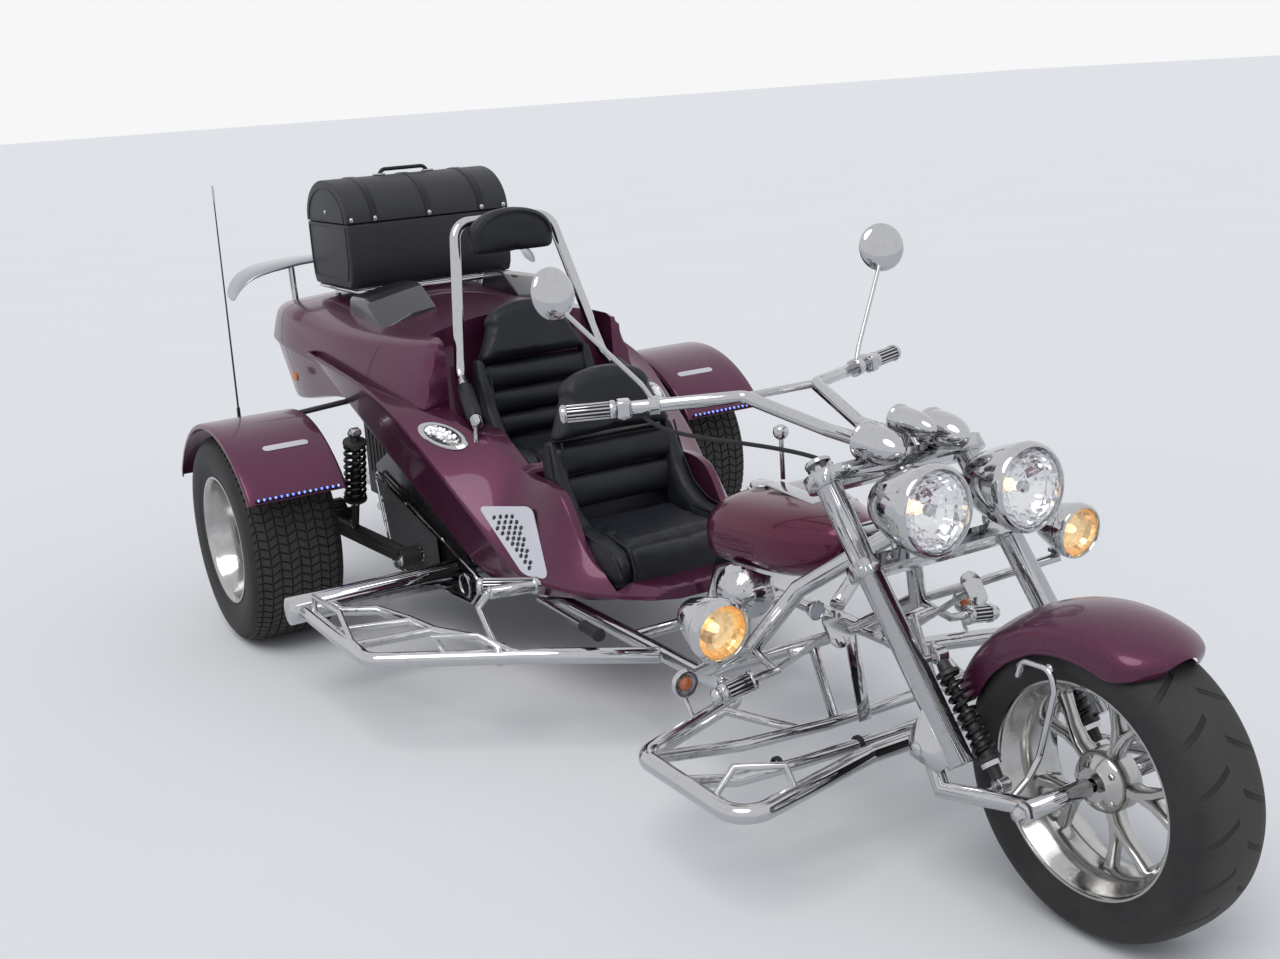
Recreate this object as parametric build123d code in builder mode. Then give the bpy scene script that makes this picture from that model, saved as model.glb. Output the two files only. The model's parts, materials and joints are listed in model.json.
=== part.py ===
from build123d import *
from math import cos, radians, sin, tan
import os

# Motorized trike with a raked front fork and two seats, in millimetres.
# +X points forward, +Y to the left, +Z up, and the ground is at Z = 0.
# The origin lies on the ground in the middle of the trike's overall length.

# Driving dimensions
WHEELBASE = 2857.0
REAR_REACH = 720.0

REAR_TYRE_R = 340.0
REAR_TYRE_WIDTH = 300.0
REAR_RIM_R = 207.0
REAR_RIM_WIDTH = 280.0
REAR_TRACK_HALF = 768.0
REAR_BEAD_R = 190.0
REAR_AXLE_PIN_R = 24.0

FRONT_TYRE_R = 311.5
FRONT_TYRE_WIDTH = 200.0
FRONT_RIM_R = 222.0
FRONT_RIM_WIDTH = 164.0
FRONT_BEAD_R = 208.0
FRONT_AXLE_PIN_R = 10.0
FRONT_AXLE_HALF = 250.0

RAKE = 38.9
STEER_TOP_Z = 900.0
STEER_TOP_BEHIND = 663.0
LEG_SPACING_HALF = 197.0
LEG_R = 28.0
LEG_TOP = -45.0
UPPER_PLATE_AT = -84.0
LOWER_PLATE_AT = -297.0
LEG_FOOT_AT = -738.0
PLATE_THICK = 30.0
STEM_R = 14.0
HEAD_R = 34.0

FRAME_TUBE_R = 21.0
CROSS_TUBE_R = 40.0
RUNG_R = 12.0
HOOP_R = 17.0
BODY_FLOOR_Z = 285.0
BAR_R = 16.0
BOARD_Z = 280.0
HIGHWAY_Z = 250.0

RIM_WALL = 7.0
RUNNING_GAP = 0.05
SEAT_GAP = 0.3
MOVING_GAP = 5.0

TRUNK_WALL = 8.0
FENDER_WALL = 5.0

# Seats, trunk and tank
SEAT_HALF_WIDTH = 225.0
TRUNK_HALF_WIDTH = 306.0
TRUNK_LENGTH = 400.0
TRUNK_BOTTOM_Z = 1052.0
TRUNK_SEAM_Z = 1274.0
TRUNK_TOP_Z = 1421.0
TRUNK_REAR_BEHIND = 600.0

HEADLIGHT_R = 94.0
HEADLIGHT_SIDE = 129.0
FOG_R = 67.0
FOG_SIDE = 512.0

REAR_AXLE_X = (REAR_REACH - WHEELBASE - FRONT_TYRE_R) / 2
FRONT_AXLE_X = REAR_AXLE_X + WHEELBASE

os.makedirs("parts", exist_ok=True)


def rear_pt(ahead, left, up):
    """A place measured from the ground under the rear axle."""
    return Vector(REAR_AXLE_X + ahead, left, up)


def front_pt(ahead, left, up):
    """A place measured from the ground under the front axle."""
    return Vector(FRONT_AXLE_X + ahead, left, up)


def other_side(points):
    """The same places on the other side of the trike."""
    return [Vector(p.X, -p.Y, p.Z) for p in points]


def tube(points, radius, bend=40.0):
    """A round bar along straight runs joined by bends, in the part being built."""
    with BuildLine() as route:
        if len(points) == 2:
            Line(*points)
        else:
            FilletPolyline(*points, radius=bend)
    with BuildSketch(Plane(origin=route.line @ 0, z_dir=route.line % 0)) as section:
        Circle(radius)
    sweep(section.sketch, path=route.line)


def rod(start, end, radius, end_radius=None):
    """A straight round bar or cone from one place to another."""
    run = end - start
    with BuildSketch(Plane(origin=start, z_dir=run.normalized())) as first:
        Circle(radius)
    if end_radius is None:
        extrude(first.sketch, amount=run.length)
    else:
        with BuildSketch(Plane(origin=end, z_dir=run.normalized())) as last:
            Circle(end_radius)
        loft([first.sketch, last.sketch])


def mitred(points, radius):
    """A round bar whose straight runs meet at cut and welded corners."""
    with BuildLine() as route:
        Polyline(*points)
    with BuildSketch(Plane(origin=route.line @ 0, z_dir=route.line % 0)) as section:
        Circle(radius)
    sweep(section.sketch, path=route.line, transition=Transition.RIGHT)


def turned(start, towards, outline, mode=Mode.ADD):
    """A turned piece: outline gives (place along the axis, radius), starting from the first place."""
    axis_dir = (towards - start).normalized()
    across = Plane(origin=start, z_dir=axis_dir).x_dir
    with BuildSketch(Plane(origin=start, x_dir=across, z_dir=across.cross(axis_dir))) as section:
        with BuildLine() as edge:
            Polyline((0, outline[0][0]), *[(radius, along) for along, radius in outline], (0, outline[-1][0]), close=True)
        make_face(edge.edges())
    revolve(section.sketch, axis=Axis(tuple(start), tuple(axis_dir)), mode=mode)


def side_plane(left):
    """A plane across the trike: its x is forward and its y is up."""
    return Plane(origin=(REAR_AXLE_X, left, 0), x_dir=(1, 0, 0), z_dir=(0, -1, 0))


def wheel_plane(centre):
    """A plane through a wheel's axle: its x is to the left and its y is up."""
    return Plane(origin=centre, x_dir=(0, 1, 0), z_dir=(1, 0, 0))


def wheel_axis(centre):
    return Axis(tuple(centre), (0, 1, 0))


FORK_PLANE = Plane(
    origin=front_pt(-STEER_TOP_BEHIND, 0, STEER_TOP_Z),
    x_dir=(cos(radians(RAKE)), 0, sin(radians(RAKE))),
    z_dir=(-sin(radians(RAKE)), 0, cos(radians(RAKE))),
)


def fork_pt(ahead, left, along):
    """A place in the fork: ahead of the legs, to the left, and up along them."""
    return FORK_PLANE.from_local_coords(Vector(ahead, left, along))


def fork_plane(along):
    return FORK_PLANE.offset(along)


# Wheels
def tyre_profile(half, outer, bead, flange, seat_half, crown):
    """A tyre's section: crown gives (share of the half width, drop below the top) from the middle out."""
    right = [(half * share, outer - drop) for share, drop in crown]
    right += [(half, (outer + flange) / 2 - 6), (half * 0.95, flange + 6), (seat_half, flange + 2), (seat_half, bead)]
    with BuildLine() as outline:
        Polyline(*right, *[(-across, up) for across, up in reversed(right)], close=True)
    make_face(outline.edges())


def rim_profile(half, flange, bead, wall=RIM_WALL):
    """A rim's barrel with a drop centre and a flange on each side."""
    with BuildLine() as outline:
        Polyline(
            (-half, flange), (-half + wall, flange), (-half + wall, bead), (half - wall, bead),
            (half - wall, flange), (half, flange), (half, bead - wall), (half * 0.6, bead - 3 * wall),
            (-half * 0.6, bead - 3 * wall), (-half, bead - wall), close=True,
        )
    make_face(outline.edges())


FRONT_CENTRE = front_pt(0, 0, FRONT_TYRE_R)
FRONT_CROWN = [(0.18, 0.0), (0.5, 9.0), (0.78, 26.0), (0.96, 44.0)]
REAR_CROWN = [(0.55, 0.0), (0.86, 10.0), (0.97, 30.0)]
SPOKES = 5

with BuildPart() as front_tyre:
    with BuildSketch(wheel_plane(FRONT_CENTRE)):
        tyre_profile(FRONT_TYRE_WIDTH / 2, FRONT_TYRE_R, FRONT_BEAD_R + SEAT_GAP, FRONT_RIM_R,
                     FRONT_RIM_WIDTH / 2 - RIM_WALL - SEAT_GAP, FRONT_CROWN)
    revolve(axis=wheel_axis(FRONT_CENTRE))

FRONT_HUB_R = 52.0
FRONT_HUB_HALF = 48.0
DISC_R = 146.0

with BuildPart() as front_rim:
    with BuildSketch(wheel_plane(FRONT_CENTRE)):
        rim_profile(FRONT_RIM_WIDTH / 2, FRONT_RIM_R, FRONT_BEAD_R)
        with BuildLine():
            Polyline(
                (-FRONT_HUB_HALF, 22), (-FRONT_HUB_HALF, 34), (-34, FRONT_HUB_R), (30, FRONT_HUB_R),
                (FRONT_HUB_HALF, 44), (FRONT_HUB_HALF, DISC_R), (FRONT_HUB_HALF + 6, DISC_R),
                (FRONT_HUB_HALF + 6, 22), close=True,
            )
        make_face()
    revolve(axis=wheel_axis(FRONT_CENTRE))
    with BuildSketch(Plane(origin=FRONT_CENTRE + Vector(0, -34, 0), x_dir=(1, 0, 0), z_dir=(0, -1, 0))):
        with BuildLine():
            spoke = Polyline(
                (44, -17), (104, -22), (190, -58), (198, -36), (128, 0), (198, 36), (190, 58), (104, 22), (44, 17),
                close=True,
            )
        fork_spoke = make_face(mode=Mode.PRIVATE)
        with PolarLocations(0, SPOKES, start_angle=90):
            add(fork_spoke)
    extrude(amount=-46)
    with BuildSketch(Plane(origin=FRONT_CENTRE, x_dir=(1, 0, 0), z_dir=(0, -1, 0))):
        Circle(26)
        Circle(FRONT_AXLE_PIN_R + RUNNING_GAP, mode=Mode.SUBTRACT)
    extrude(amount=FRONT_HUB_HALF, both=True)


def rear_centre(side):
    return rear_pt(0, side * REAR_TRACK_HALF, REAR_TYRE_R)


REAR_HUB_R = 60.0
REAR_DISH = 44.0
SIDES = {"right": -1, "left": 1}
rear_wheels = {}
for side_name, side in SIDES.items():
    centre = rear_centre(side)
    with BuildPart() as rear_tyre:
        with BuildSketch(wheel_plane(centre)):
            tyre_profile(REAR_TYRE_WIDTH / 2, REAR_TYRE_R, REAR_BEAD_R + SEAT_GAP, REAR_RIM_R,
                         REAR_RIM_WIDTH / 2 - RIM_WALL - SEAT_GAP, REAR_CROWN)
        revolve(axis=wheel_axis(centre))
    with BuildPart() as rear_rim:
        with BuildSketch(wheel_plane(centre)):
            rim_profile(REAR_RIM_WIDTH / 2, REAR_RIM_R, REAR_BEAD_R)
        revolve(axis=wheel_axis(centre))
        face = Plane(origin=centre + Vector(0, side * REAR_DISH, 0), x_dir=(1, 0, 0), z_dir=(0, side, 0))
        with BuildSketch(face):
            Circle(REAR_HUB_R)
            with PolarLocations(0, SPOKES, start_angle=90):
                with Locations((115, 0)):
                    Trapezoid(60, 138, 84, rotation=90)
            Circle(REAR_AXLE_PIN_R + RUNNING_GAP, mode=Mode.SUBTRACT)
        extrude(amount=-34)
    rear_wheels[side_name] = (rear_tyre, rear_rim)

# Rear axle: a trailing arm on each side that turns on the frame's pivot tube and carries its wheel's stub axle
ARM_Y = 560.0
ARM_PIVOT_X = 420.0
ARM_PIVOT_Z = 280.0
ARM_PIVOT_R = 22.0
ARM_PIVOT_HALF = 480.0
ARM_SLEEVE_Y = ARM_PIVOT_HALF - 32
with BuildPart() as rear_axle:
    for side in SIDES.values():
        hub_face = side * (REAR_TRACK_HALF + REAR_DISH)
        rod(rear_pt(0, side * 470, REAR_TYRE_R), rear_pt(0, hub_face, REAR_TYRE_R), REAR_AXLE_PIN_R)
        rod(rear_pt(0, side * 500, REAR_TYRE_R), rear_pt(0, side * 640, REAR_TYRE_R), 62)
        rod(rear_pt(0, side * ARM_Y, REAR_TYRE_R), rear_pt(ARM_PIVOT_X, side * ARM_SLEEVE_Y, ARM_PIVOT_Z), 28)
        rod(rear_pt(ARM_PIVOT_X, side * (ARM_SLEEVE_Y - 30), ARM_PIVOT_Z),
            rear_pt(ARM_PIVOT_X, side * (ARM_SLEEVE_Y + 30), ARM_PIVOT_Z), 34)
    with BuildSketch(side_plane(0)):
        with Locations((ARM_PIVOT_X, ARM_PIVOT_Z)):
            Circle(ARM_PIVOT_R + RUNNING_GAP)
    extrude(amount=ARM_PIVOT_HALF, both=True, mode=Mode.SUBTRACT)

# Engine and gearbox, closed in by the body, between the frame's rails
RAIL_Y = 250.0
RAIL_Z = BODY_FLOOR_Z - SEAT_GAP - FRAME_TUBE_R
RAIL_FRONT = -960.0
RAIL_REAR = -300.0
ENGINE_HALF = RAIL_Y - FRAME_TUBE_R - SEAT_GAP
ENGINE_REAR = -460.0
CROSS_R = FRAME_TUBE_R - 4
ENGINE_FLOOR_Z = RAIL_Z + CROSS_R + SEAT_GAP
with BuildPart() as engine_block:
    with BuildSketch(side_plane(0)):
        with BuildLine():
            Polyline(
                (ENGINE_REAR, ENGINE_FLOOR_Z), (ENGINE_REAR, 600), (-60, 620), (80, 520), (300, 470),
                (ARM_PIVOT_X - 80, 330), (300, ENGINE_FLOOR_Z), close=True,
            )
        make_face()
    extrude(amount=ENGINE_HALF, both=True)

# Body shell: an upper hull from the tail to the passenger's shoulders, and a lower tub that flares out
# into a crease on each side and runs to the nose
# columns: place ahead of the rear axle, base half width and height, ledge half width and height,
# shoulder half width and height, height of the deck's middle
HULL_STATIONS = [
    (-500, 445, 640, 490, 870, 478, 1003, 1032),
    (-250, 440, 690, 475, 842, 462, 972, 1035),
    (0, 430, 720, 460, 814, 440, 950, 1030),
    (250, 410, 690, 438, 795, 385, 950, 1018),
    (500, 350, 660, 378, 750, 325, 965, 1003),
]
# columns: place ahead of the rear axle, floor half width and height, crease half width and height,
# upper edge half width and height
TUB_STATIONS = [
    (-190, 478, 845, 502, 870, 470, 862),
    (60, 476, 745, 492, 843, 452, 812),
    (260, 466, 650, 482, 815, 436, 796),
    (432, 446, 552, 470, 765, 405, 770),
    (561, 434, 488, 452, 685, 345, 735),
    (700, 408, 395, 438, 606, 270, 697),
    (800, 380, 305, 418, 535, 250, 650),
    (900, 358, BODY_FLOOR_Z, 396, 455, 243, 600),
    (1000, 342, BODY_FLOOR_Z, 372, 360, 250, 605),
    (1130, 315, 298, 345, 350, 248, 600),
    (1195, 292, 306, 330, 352, 240, 455),
    (1290, 262, 314, 305, 350, 236, 385),
    (1440, 120, 325, 160, 345, 110, 362),
]
SHOULDER_DROP = 35.0
SHOULDER_IN = 45.0


def cross_section(ahead):
    """A plane across the trike: its x is to the left and its y is up."""
    return Plane(origin=rear_pt(ahead, 0, 0), x_dir=(0, 1, 0), z_dir=(1, 0, 0))


def hull_section(row):
    ahead, base_half, base_z, ledge_half, ledge_z, shoulder_half, shoulder_z, middle_z = row
    deck_half = shoulder_half - SHOULDER_IN
    with BuildSketch(cross_section(ahead)) as section:
        with BuildLine() as edge:
            sides = Polyline(
                (-deck_half, shoulder_z), (-shoulder_half, shoulder_z - SHOULDER_DROP), (-ledge_half, ledge_z),
                (-base_half, base_z), (base_half, base_z), (ledge_half, ledge_z),
                (shoulder_half, shoulder_z - SHOULDER_DROP), (deck_half, shoulder_z),
            )
            ThreePointArc(sides @ 1, (0, middle_z), sides @ 0)
        make_face(edge.edges())
    return section.sketch


def tub_section(row):
    ahead, floor_half, floor_z, crease_half, crease_z, edge_half, edge_z = row
    with BuildSketch(cross_section(ahead)) as section:
        with BuildLine() as edge:
            Polyline(
                (-floor_half, floor_z), (-crease_half, crease_z), (-edge_half, edge_z),
                (edge_half, edge_z), (crease_half, crease_z), (floor_half, floor_z), close=True,
            )
        make_face(edge.edges())
    return section.sketch


def tub_floor(ahead):
    """The height of the tub's floor at a place ahead of the rear axle."""
    for near, far in zip(TUB_STATIONS, TUB_STATIONS[1:]):
        if near[0] <= ahead <= far[0]:
            return near[2] + (far[2] - near[2]) * (ahead - near[0]) / (far[0] - near[0])


SEAT_SIDE_GAP = 1.0
NICHE_HALF = 294.0

# corners of the vent beside the rider's seat: place ahead of the rear axle, height
VENT_CORNERS = [(890, 545), (1015, 545), (1140, 395), (1070, 375)]
VENT_PROUD = 5.0
VENT_DEEP = 12.0


def flank_half(ahead, up):
    """The tub's half width at a place ahead of the rear axle, between its crease and its upper edge."""
    for near, far in zip(TUB_STATIONS, TUB_STATIONS[1:]):
        if near[0] <= ahead <= far[0]:
            share = (ahead - near[0]) / (far[0] - near[0])
            crease_half, crease_z, edge_half, edge_z = (a + (b - a) * share for a, b in zip(near[3:], far[3:]))
            return crease_half + (edge_half - crease_half) * (up - crease_z) / (edge_z - crease_z)


def flat(plane, place):
    """A place dropped onto a plane, as that plane's own x and y."""
    local = plane.to_local_coords(place)
    return (local.X, local.Y)


def vent_face(side):
    """The plane that lies on the tub at the vent of one side."""
    corners = [rear_pt(ahead, side * flank_half(ahead, up), up) for ahead, up in VENT_CORNERS]
    middle = (corners[0] + corners[1] + corners[2] + corners[3]) * 0.25
    along = (corners[2] - corners[0]).normalized()
    outward = along.cross(corners[1] - corners[3]).normalized()
    if outward.Y * side < 0:
        outward = outward * -1
    return Plane(origin=middle, x_dir=along, z_dir=outward)


with BuildPart() as vent_blank:
    for side in SIDES.values():
        face = vent_face(side)
        with BuildSketch(face, mode=Mode.PRIVATE) as blank:
            with BuildLine() as edge:
                Polyline(*[flat(face, rear_pt(ahead, side * flank_half(ahead, up), up)) for ahead, up in VENT_CORNERS],
                         close=True)
            make_face(edge.edges())
        extrude(blank.sketch, amount=VENT_PROUD)
        extrude(blank.sketch, amount=-VENT_DEEP)


def rider_outline():
    with BuildLine() as outline:
        Polyline(
            (905, 800), (925, 885), (965, 890), (1005, 700), (1015, 490), (1320, 490), (1368, 455),
            (1350, 310), (1010, 330), (925, 420), close=True,
        )
    make_face(outline.edges())


def passenger_outline():
    with BuildLine() as outline:
        Polyline(
            (395, 930), (425, 1035), (475, 1040), (530, 870), (560, 640), (830, 640), (865, 600),
            (850, 480), (560, 480), (470, 560), close=True,
        )
    make_face(outline.edges())


def seat_front(half, low, waist, top):
    """A seat from the front: straight sides up to the waist, then drawn in to a round top."""
    with BuildLine() as outline:
        base = Polyline((-half, waist), (-half, low), (half, low), (half, waist))
        right = Line(base @ 1, (half * 0.66, top - 45))
        ThreePointArc(right @ 1, (0, top), (-half * 0.66, top - 45))
        Line((-half * 0.66, top - 45), base @ 0)
    make_face(outline.edges())


with BuildPart() as rider_seat:
    with BuildSketch(side_plane(0)):
        rider_outline()
    extrude(amount=SEAT_HALF_WIDTH, both=True)
    fillet(rider_seat.edges().filter_by(Axis.Y).sort_by(Axis.Z)[-2:], 14)
    with BuildSketch(Plane(origin=rear_pt(880, 0, 0), x_dir=(0, 1, 0), z_dir=(1, 0, 0))):
        seat_front(SEAT_HALF_WIDTH, 300, 640, 900)
    extrude(amount=520, mode=Mode.INTERSECT)

with BuildPart() as passenger_seat:
    with BuildSketch(side_plane(0)):
        passenger_outline()
    extrude(amount=SEAT_HALF_WIDTH - 10, both=True)
    fillet(passenger_seat.edges().filter_by(Axis.Y).sort_by(Axis.Z)[-2:], 14)
    with BuildSketch(Plane(origin=rear_pt(380, 0, 0), x_dir=(0, 1, 0), z_dir=(1, 0, 0))):
        seat_front(SEAT_HALF_WIDTH - 10, 470, 800, 1050)
    extrude(amount=520, mode=Mode.INTERSECT)

with BuildPart() as body_shell:
    loft([hull_section(row) for row in HULL_STATIONS], ruled=True)
    loft([tub_section(row) for row in TUB_STATIONS], ruled=True)
    with BuildSketch(side_plane(0)):
        rider_outline()
        with BuildLine():
            Polyline((1010, 480), (1015, 900), (1460, 900), (1460, 480), close=True)
        make_face()
    extrude(amount=SEAT_HALF_WIDTH + SEAT_SIDE_GAP, both=True, mode=Mode.SUBTRACT)
    with BuildSketch(side_plane(0)):
        passenger_outline()
        with BuildLine():
            Polyline((470, 635), (470, 1100), (925, 1100), (925, 635), close=True)
        make_face()
    extrude(amount=SEAT_HALF_WIDTH - 10 + SEAT_SIDE_GAP, both=True, mode=Mode.SUBTRACT)
    with BuildSketch(side_plane(0)):
        with BuildLine():
            Polyline((395, 1100), (395, 900), (455, 700), (760, 700), (900, 1100), close=True)
        make_face()
    extrude(amount=NICHE_HALF, both=True, mode=Mode.SUBTRACT)
    with BuildSketch(side_plane(0)):
        with BuildLine():
            Polyline((-600, 200), (-600, 625), (-50, 645), (90, 545), (330, 495), (345, 330), (345, 200), close=True)
        make_face()
    extrude(amount=ENGINE_HALF + MOVING_GAP, both=True, mode=Mode.SUBTRACT)
    add(vent_blank.part, mode=Mode.SUBTRACT)

TAIL_FRONT = HULL_STATIONS[0][0] - SEAT_GAP
TAIL_REAR = -685.0
PLATE_HALF = 105.0
PLATE_LOW_Z = 700.0
PLATE_HEIGHT = 130.0
with BuildPart() as tail_panel:
    loft([hull_section((TAIL_REAR, 395, 640, 452, 872, 430, 985, 1005)),
          hull_section((TAIL_FRONT, *HULL_STATIONS[0][1:]))], ruled=True)
    with BuildSketch(cross_section(TAIL_REAR)):
        with Locations((0, PLATE_LOW_Z + PLATE_HEIGHT / 2)):
            Rectangle(2 * PLATE_HALF, PLATE_HEIGHT)
    extrude(amount=-10)

PANEL_Y = 392.0
BOARD_CROSS_X = 665.0
PANEL_THICK = 8.0
with BuildPart() as side_panels:
    for side in SIDES.values():
        with BuildSketch(side_plane(side * PANEL_Y)):
            with BuildLine():
                Polyline(
                    (64, 508), (150, 170), (785, 205), (870, BODY_FLOOR_Z - SEAT_GAP + 9),
                    *[(ahead, tub_floor(ahead) - SEAT_GAP) for ahead in (800, 700, 561, 432, 300)], close=True,
                )
            make_face()
            with Locations((ARM_PIVOT_X, ARM_PIVOT_Z)):
                Circle(ARM_PIVOT_R + SEAT_GAP, mode=Mode.SUBTRACT)
            with Locations((BOARD_CROSS_X, BOARD_Z)):
                Circle(CROSS_TUBE_R + SEAT_GAP, mode=Mode.SUBTRACT)
        extrude(amount=side * PANEL_THICK)

# Silver vent inserts, each a perforated plate let into the tub beside the rider's seat
with BuildPart() as vent_inserts:
    add(vent_blank.part)
    for side in SIDES.values():
        with BuildSketch(vent_face(side).offset(VENT_PROUD)):
            with GridLocations(19, 21, 4, 6):
                RegularPolygon(7, 4)
        extrude(amount=-8, mode=Mode.SUBTRACT)

SCOOP_Z = 1000.0
with BuildPart() as air_scoops:
    for side in SIDES.values():
        with BuildSketch(Plane(origin=rear_pt(0, side * 150, 0), x_dir=(1, 0, 0), z_dir=(0, -1, 0))) as inner_end:
            with BuildLine() as edge:
                Polyline((-150, SCOOP_Z), (-115, 1078), (30, 1070), (130, SCOOP_Z), close=True)
            make_face(edge.edges())
        with BuildSketch(Plane(origin=rear_pt(0, side * 340, 0), x_dir=(1, 0, 0), z_dir=(0, -1, 0))) as outer_end:
            with BuildLine() as edge:
                Polyline((-170, SCOOP_Z - 60), (-150, 1042), (10, 1032), (130, SCOOP_Z - 60), close=True)
            make_face(edge.edges())
        loft([inner_end.sketch, outer_end.sketch], ruled=True)
    add(body_shell.part, mode=Mode.SUBTRACT)

# columns: place to the left, chord's middle ahead, chord, height of the middle, thickness
SPOILER_SECTIONS = [
    (-600, -670, 70, 1015, 12), (-545, -660, 110, 1100, 22), (-380, -665, 110, 1132, 26),
    (380, -665, 110, 1132, 26), (545, -660, 110, 1100, 22), (600, -670, 70, 1015, 12),
]


def spoiler_section(left, ahead, chord, up, thick):
    with BuildSketch(Plane(origin=rear_pt(ahead, left, up), x_dir=(1, 0, 0), z_dir=(0, -1, 0))) as section:
        with BuildLine():
            Polyline((-chord / 2, 0), (-chord / 4, thick / 2), (chord / 2, 0), (-chord / 4, -thick / 2), close=True)
        make_face()
    return section.sketch


with BuildPart() as rear_spoiler:
    loft([spoiler_section(*row) for row in SPOILER_SECTIONS], ruled=True)
    for side in SIDES.values():
        rod(rear_pt(-626, side * 370, 960), rear_pt(-640, side * 370, 1132), 12)
    add(tail_panel.part, mode=Mode.SUBTRACT)

RACK_R = 7.0
RACK_HALF = 290.0
RACK_Z = TRUNK_BOTTOM_Z - RACK_R - SEAT_GAP
with BuildPart() as luggage_rack:
    mitred([rear_pt(-560, -RACK_HALF, RACK_Z), rear_pt(-190, -RACK_HALF, RACK_Z), rear_pt(-170, 20 - RACK_HALF, RACK_Z),
            rear_pt(-170, RACK_HALF - 20, RACK_Z), rear_pt(-190, RACK_HALF, RACK_Z), rear_pt(-560, RACK_HALF, RACK_Z)],
           RACK_R)
    for ahead in (-540, -230):
        rod(rear_pt(ahead, -RACK_HALF, RACK_Z), rear_pt(ahead, RACK_HALF, RACK_Z), RACK_R - 1)
        for side in SIDES.values():
            rod(rear_pt(ahead, side * 240, RACK_Z), rear_pt(ahead, side * 240, RACK_Z - 50), 9)
    add(body_shell.part, mode=Mode.SUBTRACT)
    add(tail_panel.part, mode=Mode.SUBTRACT)

TRUNK_REAR_X = -TRUNK_REAR_BEHIND
TRUNK_FRONT_X = TRUNK_REAR_X + TRUNK_LENGTH

HINGE_R = 6.0
HINGE_X = TRUNK_REAR_X - HINGE_R - 1
HINGE_AT = 160.0
HINGE_HALF = 30.0
LEAF_THICK = 10.0
LEAF_HEIGHT = 23.0


def hinge_barrel(near, far):
    """A hinge barrel behind the trunk's rear edge, between two places to the side."""
    rod(rear_pt(HINGE_X, near, TRUNK_SEAM_Z), rear_pt(HINGE_X, far, TRUNK_SEAM_Z), HINGE_R)


def hinge_leaf(middle, lift):
    """A hinge leaf between its barrel and the trunk's rear wall, above (1) or below (-1) the seam."""
    place = rear_pt(HINGE_X + LEAF_THICK / 2, middle, TRUNK_SEAM_Z + lift * (3 + LEAF_HEIGHT / 2))
    with Locations(Location(place)):
        Box(LEAF_THICK, HINGE_HALF - 4, LEAF_HEIGHT)


with BuildPart() as trunk_box:
    with BuildSketch(side_plane(0)):
        with BuildLine():
            Polyline(
                (TRUNK_REAR_X + 24, TRUNK_BOTTOM_Z), (TRUNK_REAR_X, TRUNK_SEAM_Z),
                (TRUNK_FRONT_X, TRUNK_SEAM_Z), (TRUNK_FRONT_X - 20, TRUNK_BOTTOM_Z), close=True,
            )
        make_face()
    extrude(amount=TRUNK_HALF_WIDTH, both=True)
    offset(amount=-TRUNK_WALL, openings=trunk_box.faces().sort_by(Axis.Z)[-1])
    for side in SIDES.values():
        hinge_barrel(side * (HINGE_AT - HINGE_HALF), side * (HINGE_AT - RUNNING_GAP))
        hinge_leaf(side * (HINGE_AT - HINGE_HALF / 2), -1)

with BuildPart() as trunk_lid:
    with BuildSketch(side_plane(0)):
        with BuildLine():
            base = Line((TRUNK_REAR_X, TRUNK_SEAM_Z + SEAT_GAP), (TRUNK_FRONT_X, TRUNK_SEAM_Z + SEAT_GAP))
            ThreePointArc(base @ 1, (TRUNK_REAR_X + TRUNK_LENGTH / 2, TRUNK_TOP_Z), base @ 0)
        make_face()
    extrude(amount=TRUNK_HALF_WIDTH, both=True)
    offset(amount=-TRUNK_WALL, openings=trunk_lid.faces().sort_by(Axis.Z)[0])
    for side in SIDES.values():
        hinge_barrel(side * (HINGE_AT + RUNNING_GAP), side * (HINGE_AT + HINGE_HALF))
        hinge_leaf(side * (HINGE_AT + HINGE_HALF / 2), 1)

# The hoop behind the passenger bends forward at each side into an arm rest with a stay down to the body
ARM_END = (707, 300, 728)
HOOP_BEND = (504, 252, 842)
HOOP_TOP = (372, 165, 1290)
PAD_WALL = 7.0


def beside(place, side):
    """A place measured from the rear axle, on one side of the trike."""
    ahead, left, up = place
    return rear_pt(ahead, side * left, up)


with BuildPart() as passenger_hoop:
    half_hoop = [beside(ARM_END, -1), beside(HOOP_BEND, -1), beside(HOOP_TOP, -1)]
    tube([*half_hoop, *reversed(other_side(half_hoop))], HOOP_R, bend=60)
    for side in SIDES.values():
        arm_end = beside(ARM_END, side)
        rod(arm_end - Vector(12, 0, 4), arm_end - Vector(10, -side * 4, 75), 9)
    add(body_shell.part, mode=Mode.SUBTRACT)

with BuildPart() as hoop_pads:
    for side in SIDES.values():
        arm_end = beside(ARM_END, side)
        along = (beside(HOOP_BEND, side) - arm_end).normalized()
        with BuildSketch(Plane(origin=arm_end + along * 30, z_dir=along)) as pad_ring:
            Circle(HOOP_R + PAD_WALL)
            Circle(HOOP_R + SEAT_GAP, mode=Mode.SUBTRACT)
        extrude(amount=150)
    with BuildSketch(cross_section(HOOP_TOP[0] + HOOP_R + SEAT_GAP)):
        with BuildLine():
            base = Line((-145, 1190), (145, 1190))
            ThreePointArc(base @ 1, (0, 1330), base @ 0)
        make_face()
    extrude(amount=62)

# Fuel tank, which straddles the frame's backbone tube
BACKBONE_FRONT = (-528, 728)
BACKBONE_REAR = (-1330, 430)
BACKBONE_FOOT_X = -1400.0
CAP_SEAT_Z = 680.0
CAP_X = -1127.0
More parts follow.
